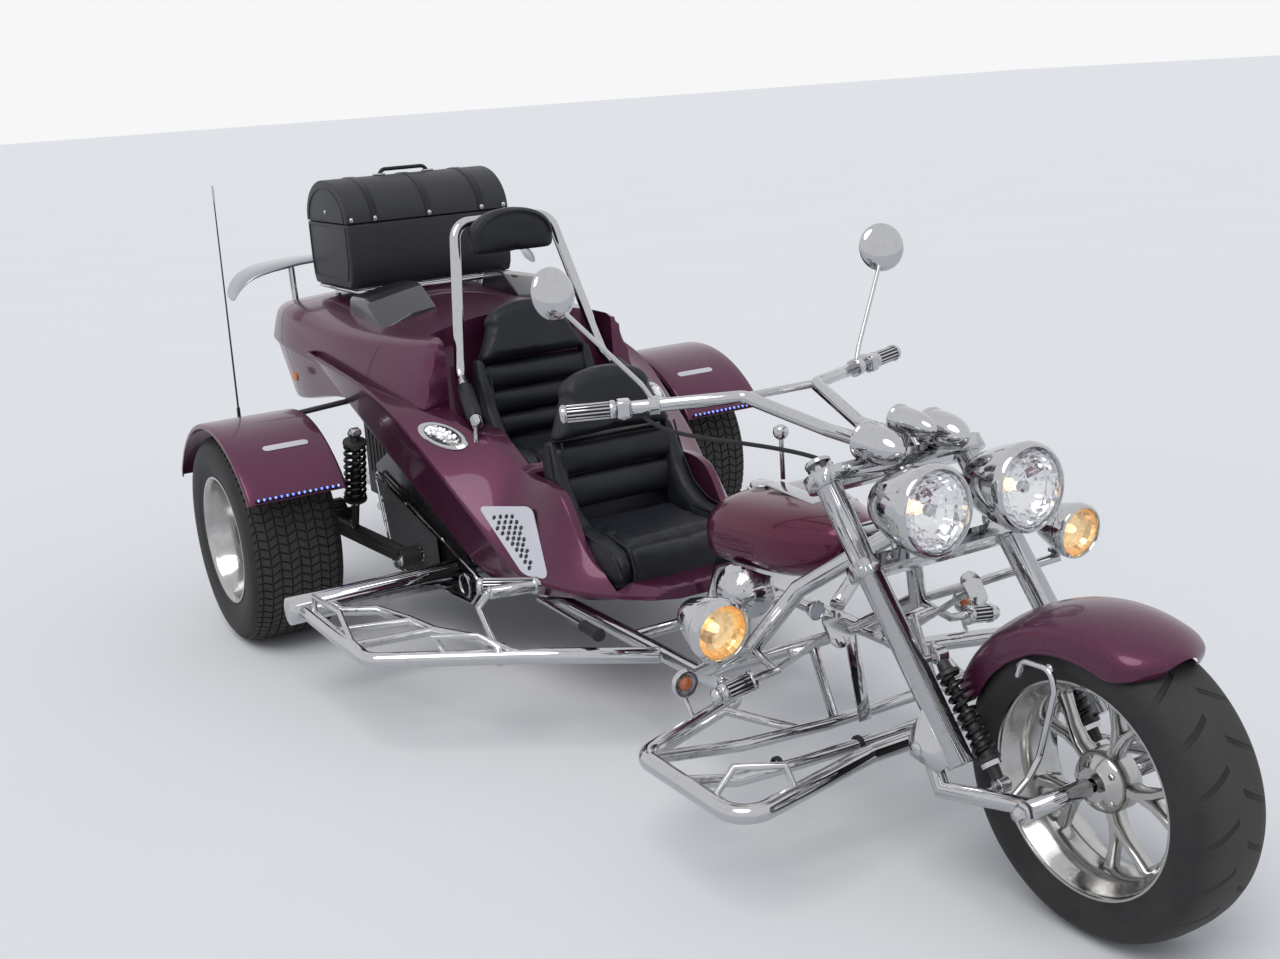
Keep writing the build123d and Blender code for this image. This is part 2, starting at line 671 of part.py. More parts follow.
# columns: place ahead of the front axle, half width, height of the middle, half height
TANK_STATIONS = [
    (-1247, 90, 565, 62),
    (-1157, 165, 585, 100),
    (-897, 150, 600, 98),
    (-737, 70, 615, 58),
]
with BuildPart() as fuel_tank:
    for ahead, half, middle_z, half_height in TANK_STATIONS:
        with BuildSketch(Plane(origin=front_pt(ahead, 0, middle_z), x_dir=(0, 1, 0), z_dir=(1, 0, 0))):
            Ellipse(half, half_height)
    loft()
    with BuildSketch(Plane(origin=front_pt(CAP_X, 0, CAP_SEAT_Z), z_dir=(0, 0, 1))):
        Circle(34)
    extrude(amount=60, mode=Mode.SUBTRACT)
    tunnel_start = front_pt(BACKBONE_FRONT[0], 0, BACKBONE_FRONT[1])
    tunnel_end = front_pt(BACKBONE_REAR[0], 0, BACKBONE_REAR[1])
    with BuildSketch(Plane(origin=tunnel_start, z_dir=tunnel_end - tunnel_start)) as tunnel:
        Circle(FRAME_TUBE_R + SEAT_GAP)
    extrude(tunnel.sketch, amount=(tunnel_end - tunnel_start).length, mode=Mode.SUBTRACT)

with BuildPart() as fuel_cap:
    turned(front_pt(CAP_X, 0, CAP_SEAT_Z + SEAT_GAP), front_pt(CAP_X, 0, CAP_SEAT_Z + 30), [(0, 32), (14, 32), (20, 26)])

FOG_BAR = [(-870, 250, 385), (-722, 350, 454), (-625, FOG_SIDE, 505)]
HORN_AT = (-1041, -122, 462)
HORN_R = 76.0


def ahead_of(place, side):
    """A place measured from the front axle, on one side of the trike."""
    ahead, left, up = place
    return front_pt(ahead, side * left, up)


with BuildPart() as main_frame:
    head_top = UPPER_PLATE_AT - PLATE_THICK / 2 - MOVING_GAP
    head_low = LOWER_PLATE_AT + PLATE_THICK / 2 + MOVING_GAP
    rod(fork_pt(0, 0, head_low), fork_pt(0, 0, head_top), HEAD_R)
    mitred([front_pt(BACKBONE_FRONT[0], 0, BACKBONE_FRONT[1]), front_pt(BACKBONE_REAR[0], 0, BACKBONE_REAR[1]),
            front_pt(BACKBONE_FOOT_X, 0, RAIL_Z)], FRAME_TUBE_R)
    for side in SIDES.values():
        mitred([fork_pt(-20, side * 12, head_low + 60), front_pt(-760, side * 170, 545),
                front_pt(-840, side * RAIL_Y, 400), front_pt(-1070, side * RAIL_Y, RAIL_Z)], FRAME_TUBE_R)
        rod(front_pt(RAIL_FRONT, side * RAIL_Y, RAIL_Z), rear_pt(RAIL_REAR, side * RAIL_Y, RAIL_Z), FRAME_TUBE_R)
        mitred([ahead_of(place, side) for place in FOG_BAR], 12)
    for place in (rear_pt(RAIL_REAR + 40, 0, 0).X, rear_pt(240, 0, 0).X, front_pt(BACKBONE_FOOT_X, 0, 0).X,
                  front_pt(-1060, 0, 0).X):
        rod(Vector(place, -RAIL_Y, RAIL_Z), Vector(place, RAIL_Y, RAIL_Z), CROSS_R)
    rod(rear_pt(ARM_PIVOT_X, -ARM_PIVOT_HALF, ARM_PIVOT_Z), rear_pt(ARM_PIVOT_X, ARM_PIVOT_HALF, ARM_PIVOT_Z), ARM_PIVOT_R)
    rod(front_pt(-1060, HORN_AT[1], RAIL_Z), front_pt(HORN_AT[0], HORN_AT[1], HORN_AT[2] - HORN_R + 12), 10)
    with BuildSketch(fork_plane(head_low)):
        Circle(STEM_R + RUNNING_GAP)
    extrude(amount=head_top - head_low, mode=Mode.SUBTRACT)

with BuildPart() as horn_cover:
    horn_middle = front_pt(*HORN_AT)
    horn_out = Vector(0.45, -0.88, 0.1).normalized()
    turned(horn_middle - horn_out * 30, horn_middle + horn_out * HORN_R,
           [(0, 50), (12, 70), (30, HORN_R), (62, 69), (86, 51), (100, 28), (106, 6)])
    add(fuel_tank.part, mode=Mode.SUBTRACT)
    add(main_frame.part, mode=Mode.SUBTRACT)

# Foot bars ahead of the frame, a bent loop with two cross tubes inside it
# columns: place ahead of the front axle, place to the right, height
HIGHWAY_LOOP = [
    (RAIL_FRONT + SEAT_GAP, RAIL_Y, RAIL_Z), (-905, RAIL_Y, HIGHWAY_Z + 4), (-779, 597, HIGHWAY_Z),
    (-392, 597, HIGHWAY_Z), (-478, 205, HIGHWAY_Z),
]
HIGHWAY_INNER = [
    [(-760, 588), (-689, 392), (-660, 177)],
    [(-614, 588), (-554, 500), (-539, 357), (-530, 150)],
]
HIGHWAY_LUG = [(-506, 590, 256), (-504, 538, 310), (-445, 452, 310), (-424, 440, 256)]
with BuildPart() as highway_bars:
    half_loop = [ahead_of(place, -1) for place in HIGHWAY_LOOP]
    tube([*half_loop, *reversed(other_side(half_loop))], FRAME_TUBE_R, bend=60)
    for bends in HIGHWAY_INNER:
        half_bar = [front_pt(ahead, -right, HIGHWAY_Z) for ahead, right in bends]
        mitred([*half_bar, *reversed(other_side(half_bar))], 14)
    for side in SIDES.values():
        mitred([ahead_of(place, side) for place in HIGHWAY_LUG], 8)
        rod(front_pt(-872, side * 321, HIGHWAY_Z + 2), front_pt(-668, side * 240, HIGHWAY_Z), 11)
        rod(front_pt(-838, side * 415, HIGHWAY_Z), front_pt(-880, side * 424, 330), 6)
    add(main_frame.part, mode=Mode.SUBTRACT)

# Gear lever beside the tank, hand brake along the right foot board, and a pedal for each foot
PEDAL_POST = [(-668, 150, HIGHWAY_Z), (-745, 150, 411)]
PEDAL_ARM = [(-805, 200, 348), (-590, 200, 502)]
with BuildPart() as control_levers:
    rod(front_pt(-1122, 60, 640), front_pt(-1122, 60, 800), 6)
    with Locations(Location(front_pt(-1123, 60, 812))):
        Sphere(20)
    add(fuel_tank.part, mode=Mode.SUBTRACT)
    mitred([rear_pt(1087, -RAIL_Y - 10, RAIL_Z + 8), rear_pt(1100, -335, 292), rear_pt(1548, -398, 333)], 10)
    rod(rear_pt(1440, -383, 323), rear_pt(1556, -399, 334), 15)
    for side in SIDES.values():
        post = [ahead_of(place, side) for place in PEDAL_POST]
        arm = [ahead_of(place, side) for place in PEDAL_ARM]
        rod(post[0], post[1], 11)
        rod(post[1] + Vector(0, -side * 14, -8), post[1] + Vector(0, side * 62, -8), 12)
        rod(arm[0], arm[1], 8)
        pad = Plane(origin=arm[1], x_dir=(0, 1, 0), z_dir=(arm[1] - arm[0]))
        with BuildSketch(pad):
            SlotOverall(86, 52, rotation=90)
        extrude(amount=9)
    add(main_frame.part, mode=Mode.SUBTRACT)
    add(highway_bars.part, mode=Mode.SUBTRACT)
    add(body_shell.part, mode=Mode.SUBTRACT)

# Foot boards, tubes in a flat ladder beside the body
# columns: place ahead of the rear axle, place to the right
BOARD_OUTER = [(BOARD_CROSS_X, 882), (1190, 886), (1424, 560), (1651, 283)]
BOARD_INNER = [(BOARD_CROSS_X, 800), (770, 792), (830, 715), (974, 678), (1101, 659), (1245, 590), (1400, 590)]
BOARD_RUNGS = [[(915, 882), (982, 676)], [(1058, 882), (1096, 662)]]
BOARD_LOOPS = [
    [(771, 880, BOARD_Z + 10), (765, 873, 340), (946, 865, 340), (1067, 880, BOARD_Z + 10)],
    [(1310, 719, BOARD_Z + 10), (1296, 740, 340), (1363, 650, 340), (1416, 571, BOARD_Z + 10)],
]
PEG_POST = [(1389, 604, BOARD_Z), (1277, 600, 384), (1347, 600, 440)]
with BuildPart() as running_boards:
    rail_face = RAIL_Y + FRAME_TUBE_R + SEAT_GAP
    for side in SIDES.values():
        rod(rear_pt(BOARD_CROSS_X, side * 380, BOARD_Z), rear_pt(BOARD_CROSS_X, side * 922, BOARD_Z), CROSS_TUBE_R)
        rod(rear_pt(BOARD_CROSS_X, side * rail_face, BOARD_Z), rear_pt(BOARD_CROSS_X, side * 390, BOARD_Z), FRAME_TUBE_R)
        tube([rear_pt(ahead, side * right, BOARD_Z) for ahead, right in BOARD_OUTER], FRAME_TUBE_R, bend=60)
        mitred([rear_pt(ahead, side * right, BOARD_Z) for ahead, right in BOARD_INNER], 14)
        for rung in BOARD_RUNGS:
            mitred([rear_pt(ahead, side * right, BOARD_Z) for ahead, right in rung], RUNG_R)
        for loop in BOARD_LOOPS:
            mitred([beside(place, side) for place in loop], 8)
        with Locations(Location(rear_pt(1389, side * 604, BOARD_Z + 6))):
            Cylinder(17, 52)

with BuildPart() as foot_pegs:
    for side in SIDES.values():
        mitred([front_pt(-838, side * RAIL_Y, 398), front_pt(-735, side * 262, 378), front_pt(-742, side * 322, 368)], 10)
        rod(front_pt(-741, side * 316, 369), front_pt(-748, side * 405, 353), 19)
        mitred([beside(place, side) for place in PEG_POST], 10)
        rod(beside(PEG_POST[2], side) + Vector(2, -side * 2, 0), rear_pt(1339, side * 455, 425), 17)
    add(main_frame.part, mode=Mode.SUBTRACT)
    add(running_boards.part, mode=Mode.SUBTRACT)

FENDER_START = (-360, 500)
FENDER_TOP = (60, 728)
FENDER_END = (420, 545)
with BuildPart() as rear_fenders:
    for side in SIDES.values():
        rod(rear_pt(60, side * 430, 735), rear_pt(60, side * 625, 722), 10)
        with BuildSketch(side_plane(side * (REAR_TRACK_HALF - 150))):
            with BuildLine():
                outer = ThreePointArc(FENDER_START, FENDER_TOP, FENDER_END)
                inner = ThreePointArc(
                    (FENDER_START[0] + FENDER_WALL, FENDER_START[1]), (FENDER_TOP[0], FENDER_TOP[1] - FENDER_WALL),
                    (FENDER_END[0] - FENDER_WALL, FENDER_END[1]),
                )
                Line(outer @ 0, inner @ 0)
                Line(outer @ 1, inner @ 1)
            make_face()
        extrude(amount=-side * 310)
    add(body_shell.part, mode=Mode.SUBTRACT)

SHOCK_SIDE = 520.0
with BuildPart() as rear_shocks:
    for side in SIDES.values():
        low = rear_pt(160, side * SHOCK_SIDE, 330)
        top = rear_pt(254, side * SHOCK_SIDE, 668)
        turned(low, top, [(0, 14), (120, 14), (122, 34), (132, 38), (310, 38), (320, 34), (322, 20), (352, 20)])
        rod(rear_pt(254, side * 548, 670), rear_pt(254, side * 390, 690), 14)
    add(body_shell.part, mode=Mode.SUBTRACT)
    add(rear_axle.part, mode=Mode.SUBTRACT)

with BuildPart() as fog_lamps:
    for side in SIDES.values():
        back = front_pt(-690, side * FOG_SIDE, 590)
        face = front_pt(-557, side * FOG_SIDE, 581)
        turned(back, face, [(0, 22), (14, 38), (88, 62), (118, FOG_R), (134, FOG_R), (140, FOG_R - 8)])
        rod(front_pt(-625, side * FOG_SIDE, 505), front_pt(-625, side * FOG_SIDE, 560), 9)
    add(main_frame.part, mode=Mode.SUBTRACT)

# Lamps that mark the trike's edges: front turn signals, oval lamps on the flanks, round tail lamps
with BuildPart() as marker_lamps:
    for side in SIDES.values():
        signal = front_pt(-897, side * 425, 350)
        turned(signal, signal + Vector(40, 0, 0), [(0, 12), (10, 28), (30, 33), (48, 30), (54, 18)])
        oval = rear_pt(607, side * (flank_half(607, 690) - 4), 690)
        with BuildSketch(Plane(origin=oval, x_dir=(0.88, -side * 0.47, 0.02), z_dir=(0.30, side * 0.62, 0.72))) as lens:
            Ellipse(78, 27)
        extrude(lens.sketch, amount=13)
        for left, radius in ((345, 42), (240, 34)):
            with BuildSketch(cross_section(TAIL_REAR - SEAT_GAP)) as tail_lens:
                with Locations((side * left, 800)):
                    Circle(radius)
            extrude(tail_lens.sketch, amount=-16)
    add(body_shell.part, mode=Mode.SUBTRACT)
    add(highway_bars.part, mode=Mode.SUBTRACT)

# Exhaust tips, straight out of the engine's rear face
EXHAUST_SIDE = 180.0
EXHAUST_Z = 300.0
EXHAUST_R = 28.0
EXHAUST_END = -690.0
with BuildPart() as exhausts:
    for side in SIDES.values():
        with BuildSketch(cross_section(ENGINE_REAR - SEAT_GAP)) as pipe:
            with Locations((side * EXHAUST_SIDE, EXHAUST_Z)):
                Circle(EXHAUST_R)
        extrude(pipe.sketch, amount=EXHAUST_END - ENGINE_REAR + SEAT_GAP)
        with BuildSketch(cross_section(EXHAUST_END)) as mouth:
            with Locations((side * EXHAUST_SIDE, EXHAUST_Z)):
                Circle(EXHAUST_R - 4)
        extrude(mouth.sketch, amount=60, mode=Mode.SUBTRACT)

with BuildPart() as antenna:
    foot = rear_pt(-200, -750, 659.7)
    outward = Vector(-0.5175, 0, 0.8557)
    rod(foot - outward * 2, foot + outward * 14, 12)
    rod(foot + outward * 8, rear_pt(-155, -750, 1448), 4)
    add(rear_fenders.part, mode=Mode.SUBTRACT)

# Fork
ARM_PIN = (-300, 333)
ARM_PIN_R = 9.0
SHOCK_TOP = (-325, 507)
SHOCK_LOW = (-147, 285)
SHOCK_PIN_R = 8.0
SHOCK_Y = LEG_SPACING_HALF - 57
EYE_HALF = 14.0
GUSSET = [(-282, 428), (-205, 332), (-240, 300), (-322, 312), (-326, 350)]


def front_side_plane(left):
    """A plane across the trike at the front axle: its x is forward and its y is up."""
    return Plane(origin=(FRONT_AXLE_X, left, 0), x_dir=(1, 0, 0), z_dir=(0, -1, 0))


with BuildPart() as fork_legs:
    for side in SIDES.values():
        leg_y = side * LEG_SPACING_HALF
        rod(fork_pt(0, leg_y, LEG_FOOT_AT), fork_pt(0, leg_y, LEG_TOP), LEG_R)
        for inset in (-25, 25):
            with BuildSketch(front_side_plane(leg_y + inset + 3.5)) as gusset:
                with BuildLine() as edge:
                    Polyline(*GUSSET, close=True)
                make_face(edge.edges())
            extrude(amount=7)
        rod(front_pt(ARM_PIN[0], leg_y - side * 34, ARM_PIN[1]), front_pt(ARM_PIN[0], leg_y + side * 34, ARM_PIN[1]), ARM_PIN_R)
        rod(front_pt(SHOCK_TOP[0], leg_y - side * 12, SHOCK_TOP[1]),
            front_pt(SHOCK_TOP[0], side * (SHOCK_Y - EYE_HALF - 3), SHOCK_TOP[1]), SHOCK_PIN_R)
    for along in (UPPER_PLATE_AT, LOWER_PLATE_AT):
        with BuildSketch(fork_plane(along - PLATE_THICK / 2)):
            SlotOverall(2 * LEG_SPACING_HALF + 90, 90, rotation=90)
        extrude(amount=PLATE_THICK)
    rod(fork_pt(0, 0, LOWER_PLATE_AT), fork_pt(0, 0, UPPER_PLATE_AT), STEM_R)

with BuildPart() as front_swing_arms:
    rod(front_pt(0, -FRONT_AXLE_HALF, FRONT_TYRE_R), front_pt(0, FRONT_AXLE_HALF, FRONT_TYRE_R), FRONT_AXLE_PIN_R)
    for side in SIDES.values():
        leg_y = side * LEG_SPACING_HALF
        rod(front_pt(0, side * 62, FRONT_TYRE_R), front_pt(0, side * 230, FRONT_TYRE_R), 19)
        mitred([front_pt(ARM_PIN[0] - 2, leg_y, ARM_PIN[1] + 4), front_pt(-257, leg_y, 250), front_pt(0, leg_y, FRONT_TYRE_R)], 18)
        rod(front_pt(ARM_PIN[0], leg_y - side * 21.2, ARM_PIN[1]), front_pt(ARM_PIN[0], leg_y + side * 21.2, ARM_PIN[1]), 20)
        rod(front_pt(SHOCK_LOW[0], leg_y, SHOCK_LOW[1]),
            front_pt(SHOCK_LOW[0], side * (SHOCK_Y - EYE_HALF - 3), SHOCK_LOW[1]), SHOCK_PIN_R)
    with BuildSketch(front_side_plane(0)):
        with Locations(ARM_PIN):
            Circle(ARM_PIN_R + RUNNING_GAP)
    extrude(amount=LEG_SPACING_HALF + 40, both=True, mode=Mode.SUBTRACT)

with BuildPart() as front_shocks:
    for side in SIDES.values():
        low = front_pt(SHOCK_LOW[0], side * SHOCK_Y, SHOCK_LOW[1])
        top = front_pt(SHOCK_TOP[0], side * SHOCK_Y, SHOCK_TOP[1])
        turned(low, top, [(0, 11), (44, 11), (46, 22), (52, 25), (250, 25), (256, 22), (258, 12), ((top - low).length, 12)])
        for eye in (low, top):
            rod(eye - Vector(0, EYE_HALF, 0), eye + Vector(0, EYE_HALF, 0), 17)
    with BuildSketch(front_side_plane(0)):
        with Locations(SHOCK_TOP, SHOCK_LOW):
            Circle(SHOCK_PIN_R + RUNNING_GAP)
    extrude(amount=SHOCK_Y + EYE_HALF + 5, both=True, mode=Mode.SUBTRACT)

FENDER_BACK = 164.0
FENDER_TIP = 59.0
FENDER_HALF = 110.0
SKIRT_HALF = 114.0
SKIRT_R = 262.0
STAY = [(-124, 549), (-42, 583), (-13, 545), (-52, 355), (-78, 355)]
with BuildPart() as front_fender:
    start = Plane(origin=FRONT_CENTRE, x_dir=(0, 1, 0), z_dir=(sin(radians(FENDER_BACK)), 0, -cos(radians(FENDER_BACK))))
    with BuildSketch(start):
        with BuildLine():
            outer = ThreePointArc((-FENDER_HALF, 324), (0, 358), (FENDER_HALF, 324))
            inner = ThreePointArc((-FENDER_HALF + FENDER_WALL, 321), (0, 358 - FENDER_WALL), (FENDER_HALF - FENDER_WALL, 321))
            Polyline(outer @ 0, (-SKIRT_HALF, SKIRT_R), (-SKIRT_HALF + FENDER_WALL, SKIRT_R), inner @ 0)
            Polyline(outer @ 1, (SKIRT_HALF, SKIRT_R), (SKIRT_HALF - FENDER_WALL, SKIRT_R), inner @ 1)
        make_face()
    revolve(axis=wheel_axis(FRONT_CENTRE), revolution_arc=FENDER_BACK - FENDER_TIP)
    for side in SIDES.values():
        with BuildSketch(front_side_plane(side * (SKIRT_HALF + 1))) as stay:
            with BuildLine() as edge:
                Polyline(*STAY, close=True)
            make_face(edge.edges())
        extrude(stay.sketch, amount=4, both=True)
        rod(front_pt(-65, side * (SKIRT_HALF + 2), 360), front_pt(-65, side * LEG_SPACING_HALF, 300), 8)
    add(front_swing_arms.part, mode=Mode.SUBTRACT)

with BuildPart() as headlights:
    for side in SIDES.values():
        back = front_pt(-513, side * HEADLIGHT_SIDE, 794)
        face = front_pt(-341, side * HEADLIGHT_SIDE, 808)
        turned(back, face, [(0, 28), (16, 50), (100, 84), (146, 95), (172, 96), (180, 88), (186, 50)])
        rod(fork_pt(28, side * HEADLIGHT_SIDE, LOWER_PLATE_AT), front_pt(-450, side * HEADLIGHT_SIDE, 760), 9)
    add(fork_legs.part, mode=Mode.SUBTRACT)

# columns: place to the left, raise, dial radius
GAUGE_PODS = [(-90, 0, 42), (0, 34, 30), (90, 0, 42)]
with BuildPart() as gauge_pods:
    for left, raised, radius in GAUGE_PODS:
        dial = front_pt(-606, left, 904 + raised)
        nose = front_pt(-484, left, 896 + raised)
        turned(dial, nose, [(0, radius), (8, radius + 2), (60, radius), (96, radius * 0.75), (118, radius * 0.4), (126, 5)])
        rod(fork_pt(20, left, UPPER_PLATE_AT), front_pt(-575, left, 900 + raised), 8)
    add(fork_legs.part, mode=Mode.SUBTRACT)

GRIP_END = (-1213, 504, 937)
GRIP_BEND = (-1034, 105, 941)
RISER_HALF = 47.0
with BuildPart() as handlebar:
    for side in SIDES.values():
        rod(fork_pt(0, side * RISER_HALF, UPPER_PLATE_AT + PLATE_THICK / 2 + SEAT_GAP), fork_pt(0, side * RISER_HALF, -6), 21)
    half_bar = [fork_pt(0, -RISER_HALF, -22), front_pt(-792, -RISER_HALF, 889), ahead_of(GRIP_BEND, -1), ahead_of(GRIP_END, -1)]
    tube(half_bar, BAR_R, bend=30)
    tube(other_side(half_bar), BAR_R, bend=30)
    rod(front_pt(-1034, -105, 941), front_pt(-1034, 105, 941), 10)

GRIP_LENGTH = 128.0
with BuildPart() as bar_grips:
    for side in SIDES.values():
        grip_end = ahead_of(GRIP_END, side)
        along = (ahead_of(GRIP_BEND, side) - grip_end).normalized()
        turned(grip_end - along * 3, grip_end + along * GRIP_LENGTH,
               [(0, 17), (3, 21), (10, 21), (16, 19), (118, 19), (122, 23), (GRIP_LENGTH + 3, 23)])
    add(handlebar.part, mode=Mode.SUBTRACT)

MIRROR_R = 63.0
with BuildPart() as mirrors:
    for side in SIDES.values():
        clamp_at = ahead_of(GRIP_BEND, side) + (ahead_of(GRIP_END, side) - ahead_of(GRIP_BEND, side)) * 0.5
        rod(clamp_at, front_pt(-1231, side * 484, 1190), 6)
        rod(front_pt(-1240, side * 491, 1217), front_pt(-1215, side * 485, 1222), MIRROR_R)
    add(handlebar.part, mode=Mode.SUBTRACT)

# Throttle cable, from the right grip along the bar's front and down to the upper fork plate
CABLE_R = 5.0
CABLE = [(-1135, -330, 918), (-1075, -330, 898), (-960, -290, 886), (-800, -215, 880), (-690, -160, 866), (-660, -140, 850)]
with BuildPart() as throttle_cable:
    tube([front_pt(*place) for place in CABLE], CABLE_R, bend=60)
    add(handlebar.part, mode=Mode.SUBTRACT)
    add(fork_legs.part, mode=Mode.SUBTRACT)

PIECES = {
    "front_tyre": front_tyre, "front_rim": front_rim,
    "rear_tyre_right": rear_wheels["right"][0], "rear_rim_right": rear_wheels["right"][1],
    "rear_tyre_left": rear_wheels["left"][0], "rear_rim_left": rear_wheels["left"][1],
    "main_frame": main_frame, "rear_axle": rear_axle, "rear_shocks": rear_shocks, "engine_block": engine_block,
    "exhausts": exhausts, "body_shell": body_shell, "tail_panel": tail_panel, "side_panels": side_panels,
    "vent_inserts": vent_inserts, "air_scoops": air_scoops, "rear_fenders": rear_fenders,
    "rear_spoiler": rear_spoiler, "luggage_rack": luggage_rack, "trunk_box": trunk_box, "trunk_lid": trunk_lid,
    "rider_seat": rider_seat, "passenger_seat": passenger_seat, "passenger_hoop": passenger_hoop,
    "hoop_pads": hoop_pads, "fuel_tank": fuel_tank, "fuel_cap": fuel_cap, "control_levers": control_levers,
    "horn_cover": horn_cover, "highway_bars": highway_bars, "running_boards": running_boards,
    "foot_pegs": foot_pegs, "fog_lamps": fog_lamps, "marker_lamps": marker_lamps, "antenna": antenna,
    "fork_legs": fork_legs, "front_swing_arms": front_swing_arms, "front_shocks": front_shocks,
    "front_fender": front_fender, "headlights": headlights, "gauge_pods": gauge_pods,
    "handlebar": handlebar, "bar_grips": bar_grips, "mirrors": mirrors, "throttle_cable": throttle_cable,
}
for label, piece in PIECES.items():
    piece.part.label = label
    export_step(piece.part, f"parts/{label}.step")
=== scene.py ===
import json
import math

import bpy
from mathutils import Matrix, Vector


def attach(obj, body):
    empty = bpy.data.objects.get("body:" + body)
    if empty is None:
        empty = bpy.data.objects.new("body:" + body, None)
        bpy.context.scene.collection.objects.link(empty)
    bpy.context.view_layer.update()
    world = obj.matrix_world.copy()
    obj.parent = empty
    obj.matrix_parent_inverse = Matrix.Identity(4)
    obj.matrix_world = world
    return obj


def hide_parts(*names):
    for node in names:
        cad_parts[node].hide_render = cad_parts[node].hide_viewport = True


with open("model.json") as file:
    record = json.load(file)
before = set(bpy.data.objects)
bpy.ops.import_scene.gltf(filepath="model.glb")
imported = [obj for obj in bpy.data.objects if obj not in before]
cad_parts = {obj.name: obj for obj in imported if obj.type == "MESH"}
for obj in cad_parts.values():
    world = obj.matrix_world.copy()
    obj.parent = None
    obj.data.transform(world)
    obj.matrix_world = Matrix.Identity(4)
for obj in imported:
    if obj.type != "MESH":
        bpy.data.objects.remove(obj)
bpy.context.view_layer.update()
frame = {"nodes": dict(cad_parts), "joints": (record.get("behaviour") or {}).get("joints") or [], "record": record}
bpy.ops.object.select_all(action="DESELECT")
nodes = frame["nodes"]
joints = {joint["name"]: joint for joint in frame["joints"]}

# Places: the wheels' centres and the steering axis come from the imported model
SIDES = {-1: "right", 1: "left"}
FRONT_HUB = Vector(joints["front_wheel_spin"]["pos_m"])
REAR_HUBS = {side: Vector(joints["rear_wheel_%s_spin" % word]["pos_m"]) for side, word in SIDES.items()}
STEER_TOP = Vector(joints["steering"]["pos_m"])
STEER_UP = Vector(joints["steering"]["axis"]).normalized()
FORK_AHEAD = Vector((STEER_UP.z, 0, -STEER_UP.x))
AHEAD, LEFT, UP = Vector((1, 0, 0)), Vector((0, 1, 0)), Vector((0, 0, 1))
FULL_TURN = 2 * math.pi


def rear(ahead, left, up):
    """A place in millimetres from the ground under the rear axle, as metres in the frame."""
    return Vector((REAR_HUBS[1].x + ahead / 1000, left / 1000, up / 1000))


def front(ahead, left, up):
    """A place in millimetres from the ground under the front axle, as metres in the frame."""
    return Vector((FRONT_HUB.x + ahead / 1000, left / 1000, up / 1000))


def fork(ahead, left, along):
    """A place in millimetres in the fork: ahead of the legs, to the left, and up along them."""
    return STEER_TOP + FORK_AHEAD * (ahead / 1000) + LEFT * (left / 1000) + STEER_UP * (along / 1000)


def on_side(side, place, *points):
    """Places on one side of the trike, from rows of (ahead, outwards, up)."""
    return [place(ahead, side * out, up) for ahead, out, up in points]


# Modelling helpers
def take(piece):
    """Makes a piece the only one selected, and active."""
    bpy.ops.object.select_all(action="DESELECT")
    piece.select_set(True)
    bpy.context.view_layer.objects.active = piece
    return piece


def open_all(piece):
    """Opens a piece in edit mode, all selected."""
    take(piece)
    bpy.ops.object.mode_set(mode="EDIT")
    bpy.ops.mesh.select_all(action="SELECT")


def close_edit():
    bpy.ops.object.mode_set(mode="OBJECT")


def settle(piece):
    """Moves a piece's place, turn and size into its mesh."""
    take(piece)
    bpy.ops.object.transform_apply(location=True, rotation=True, scale=True)
    return piece


def modify(piece, kind, **settings):
    """Adds a modifier with these settings and applies it."""
    take(piece)
    modifier = piece.modifiers.new(kind.lower(), kind)
    for key, value in settings.items():
        setattr(modifier, key, value)
    bpy.ops.object.modifier_apply(modifier=modifier.name)
    return piece


def rounded(piece, width, segments, limit=30):
    """Rounds the edges that turn by more than the limit in degrees; the width is in millimetres."""
    return modify(piece, "BEVEL", width=width / 1000, segments=segments, limit_method="ANGLE",
                  angle_limit=math.radians(limit))


def divided(piece, levels):
    return modify(piece, "SUBSURF", levels=levels, render_levels=levels)


def pick(piece, kind, wanted=lambda item: True):
    """Opens a piece in edit mode with only the edges or faces selected for which wanted(item) is true."""
    take(piece)
    bpy.ops.object.mode_set(mode="EDIT")
    bpy.ops.mesh.select_mode(type=kind)
    bpy.ops.mesh.select_all(action="DESELECT")
    close_edit()
    for item in {"EDGE": piece.data.edges, "FACE": piece.data.polygons}[kind]:
        item.select = bool(wanted(item))
    bpy.ops.object.mode_set(mode="EDIT")


def smooth(piece, angle=35):
    take(piece)
    bpy.ops.object.shade_smooth_by_angle(angle=math.radians(angle))
    return piece


def outward(piece, merge=0.00003):
    """Merges doubled points and turns every face outwards."""
    open_all(piece)
    bpy.ops.mesh.remove_doubles(threshold=merge)
    bpy.ops.mesh.normals_make_consistent(inside=False)
    close_edit()
    return piece


def join(pieces, name):
    """Makes several pieces one mesh."""
    bpy.ops.object.select_all(action="DESELECT")
    for piece in pieces:
        piece.select_set(True)
    bpy.context.view_layer.objects.active = pieces[0]
    if len(pieces) > 1:
        bpy.ops.object.join()
    pieces[0].name = pieces[0].data.name = name
    return pieces[0]


def twin(piece):
    """A copy of a piece with its own mesh."""
    take(piece)
    bpy.ops.object.duplicate()
    return bpy.context.object


def turn(piece, angle, axis, centre):
    """Turns a settled piece about an axis through a place."""
    turning = Matrix.Translation(centre) @ Matrix.Rotation(angle, 4, axis) @ Matrix.Translation(-centre)
    piece.matrix_world = turning @ piece.matrix_world
    return settle(piece)


def loop(points, fill="NOTHING"):
    """A closed loop of edges through these points, with a face in it if fill is NGON."""
    bpy.ops.mesh.primitive_circle_add(vertices=len(points), radius=1, fill_type=fill, location=(0, 0, 0))
    outline = bpy.context.object
    for vertex, point in zip(outline.data.vertices, points):
        vertex.co = point
    return outline


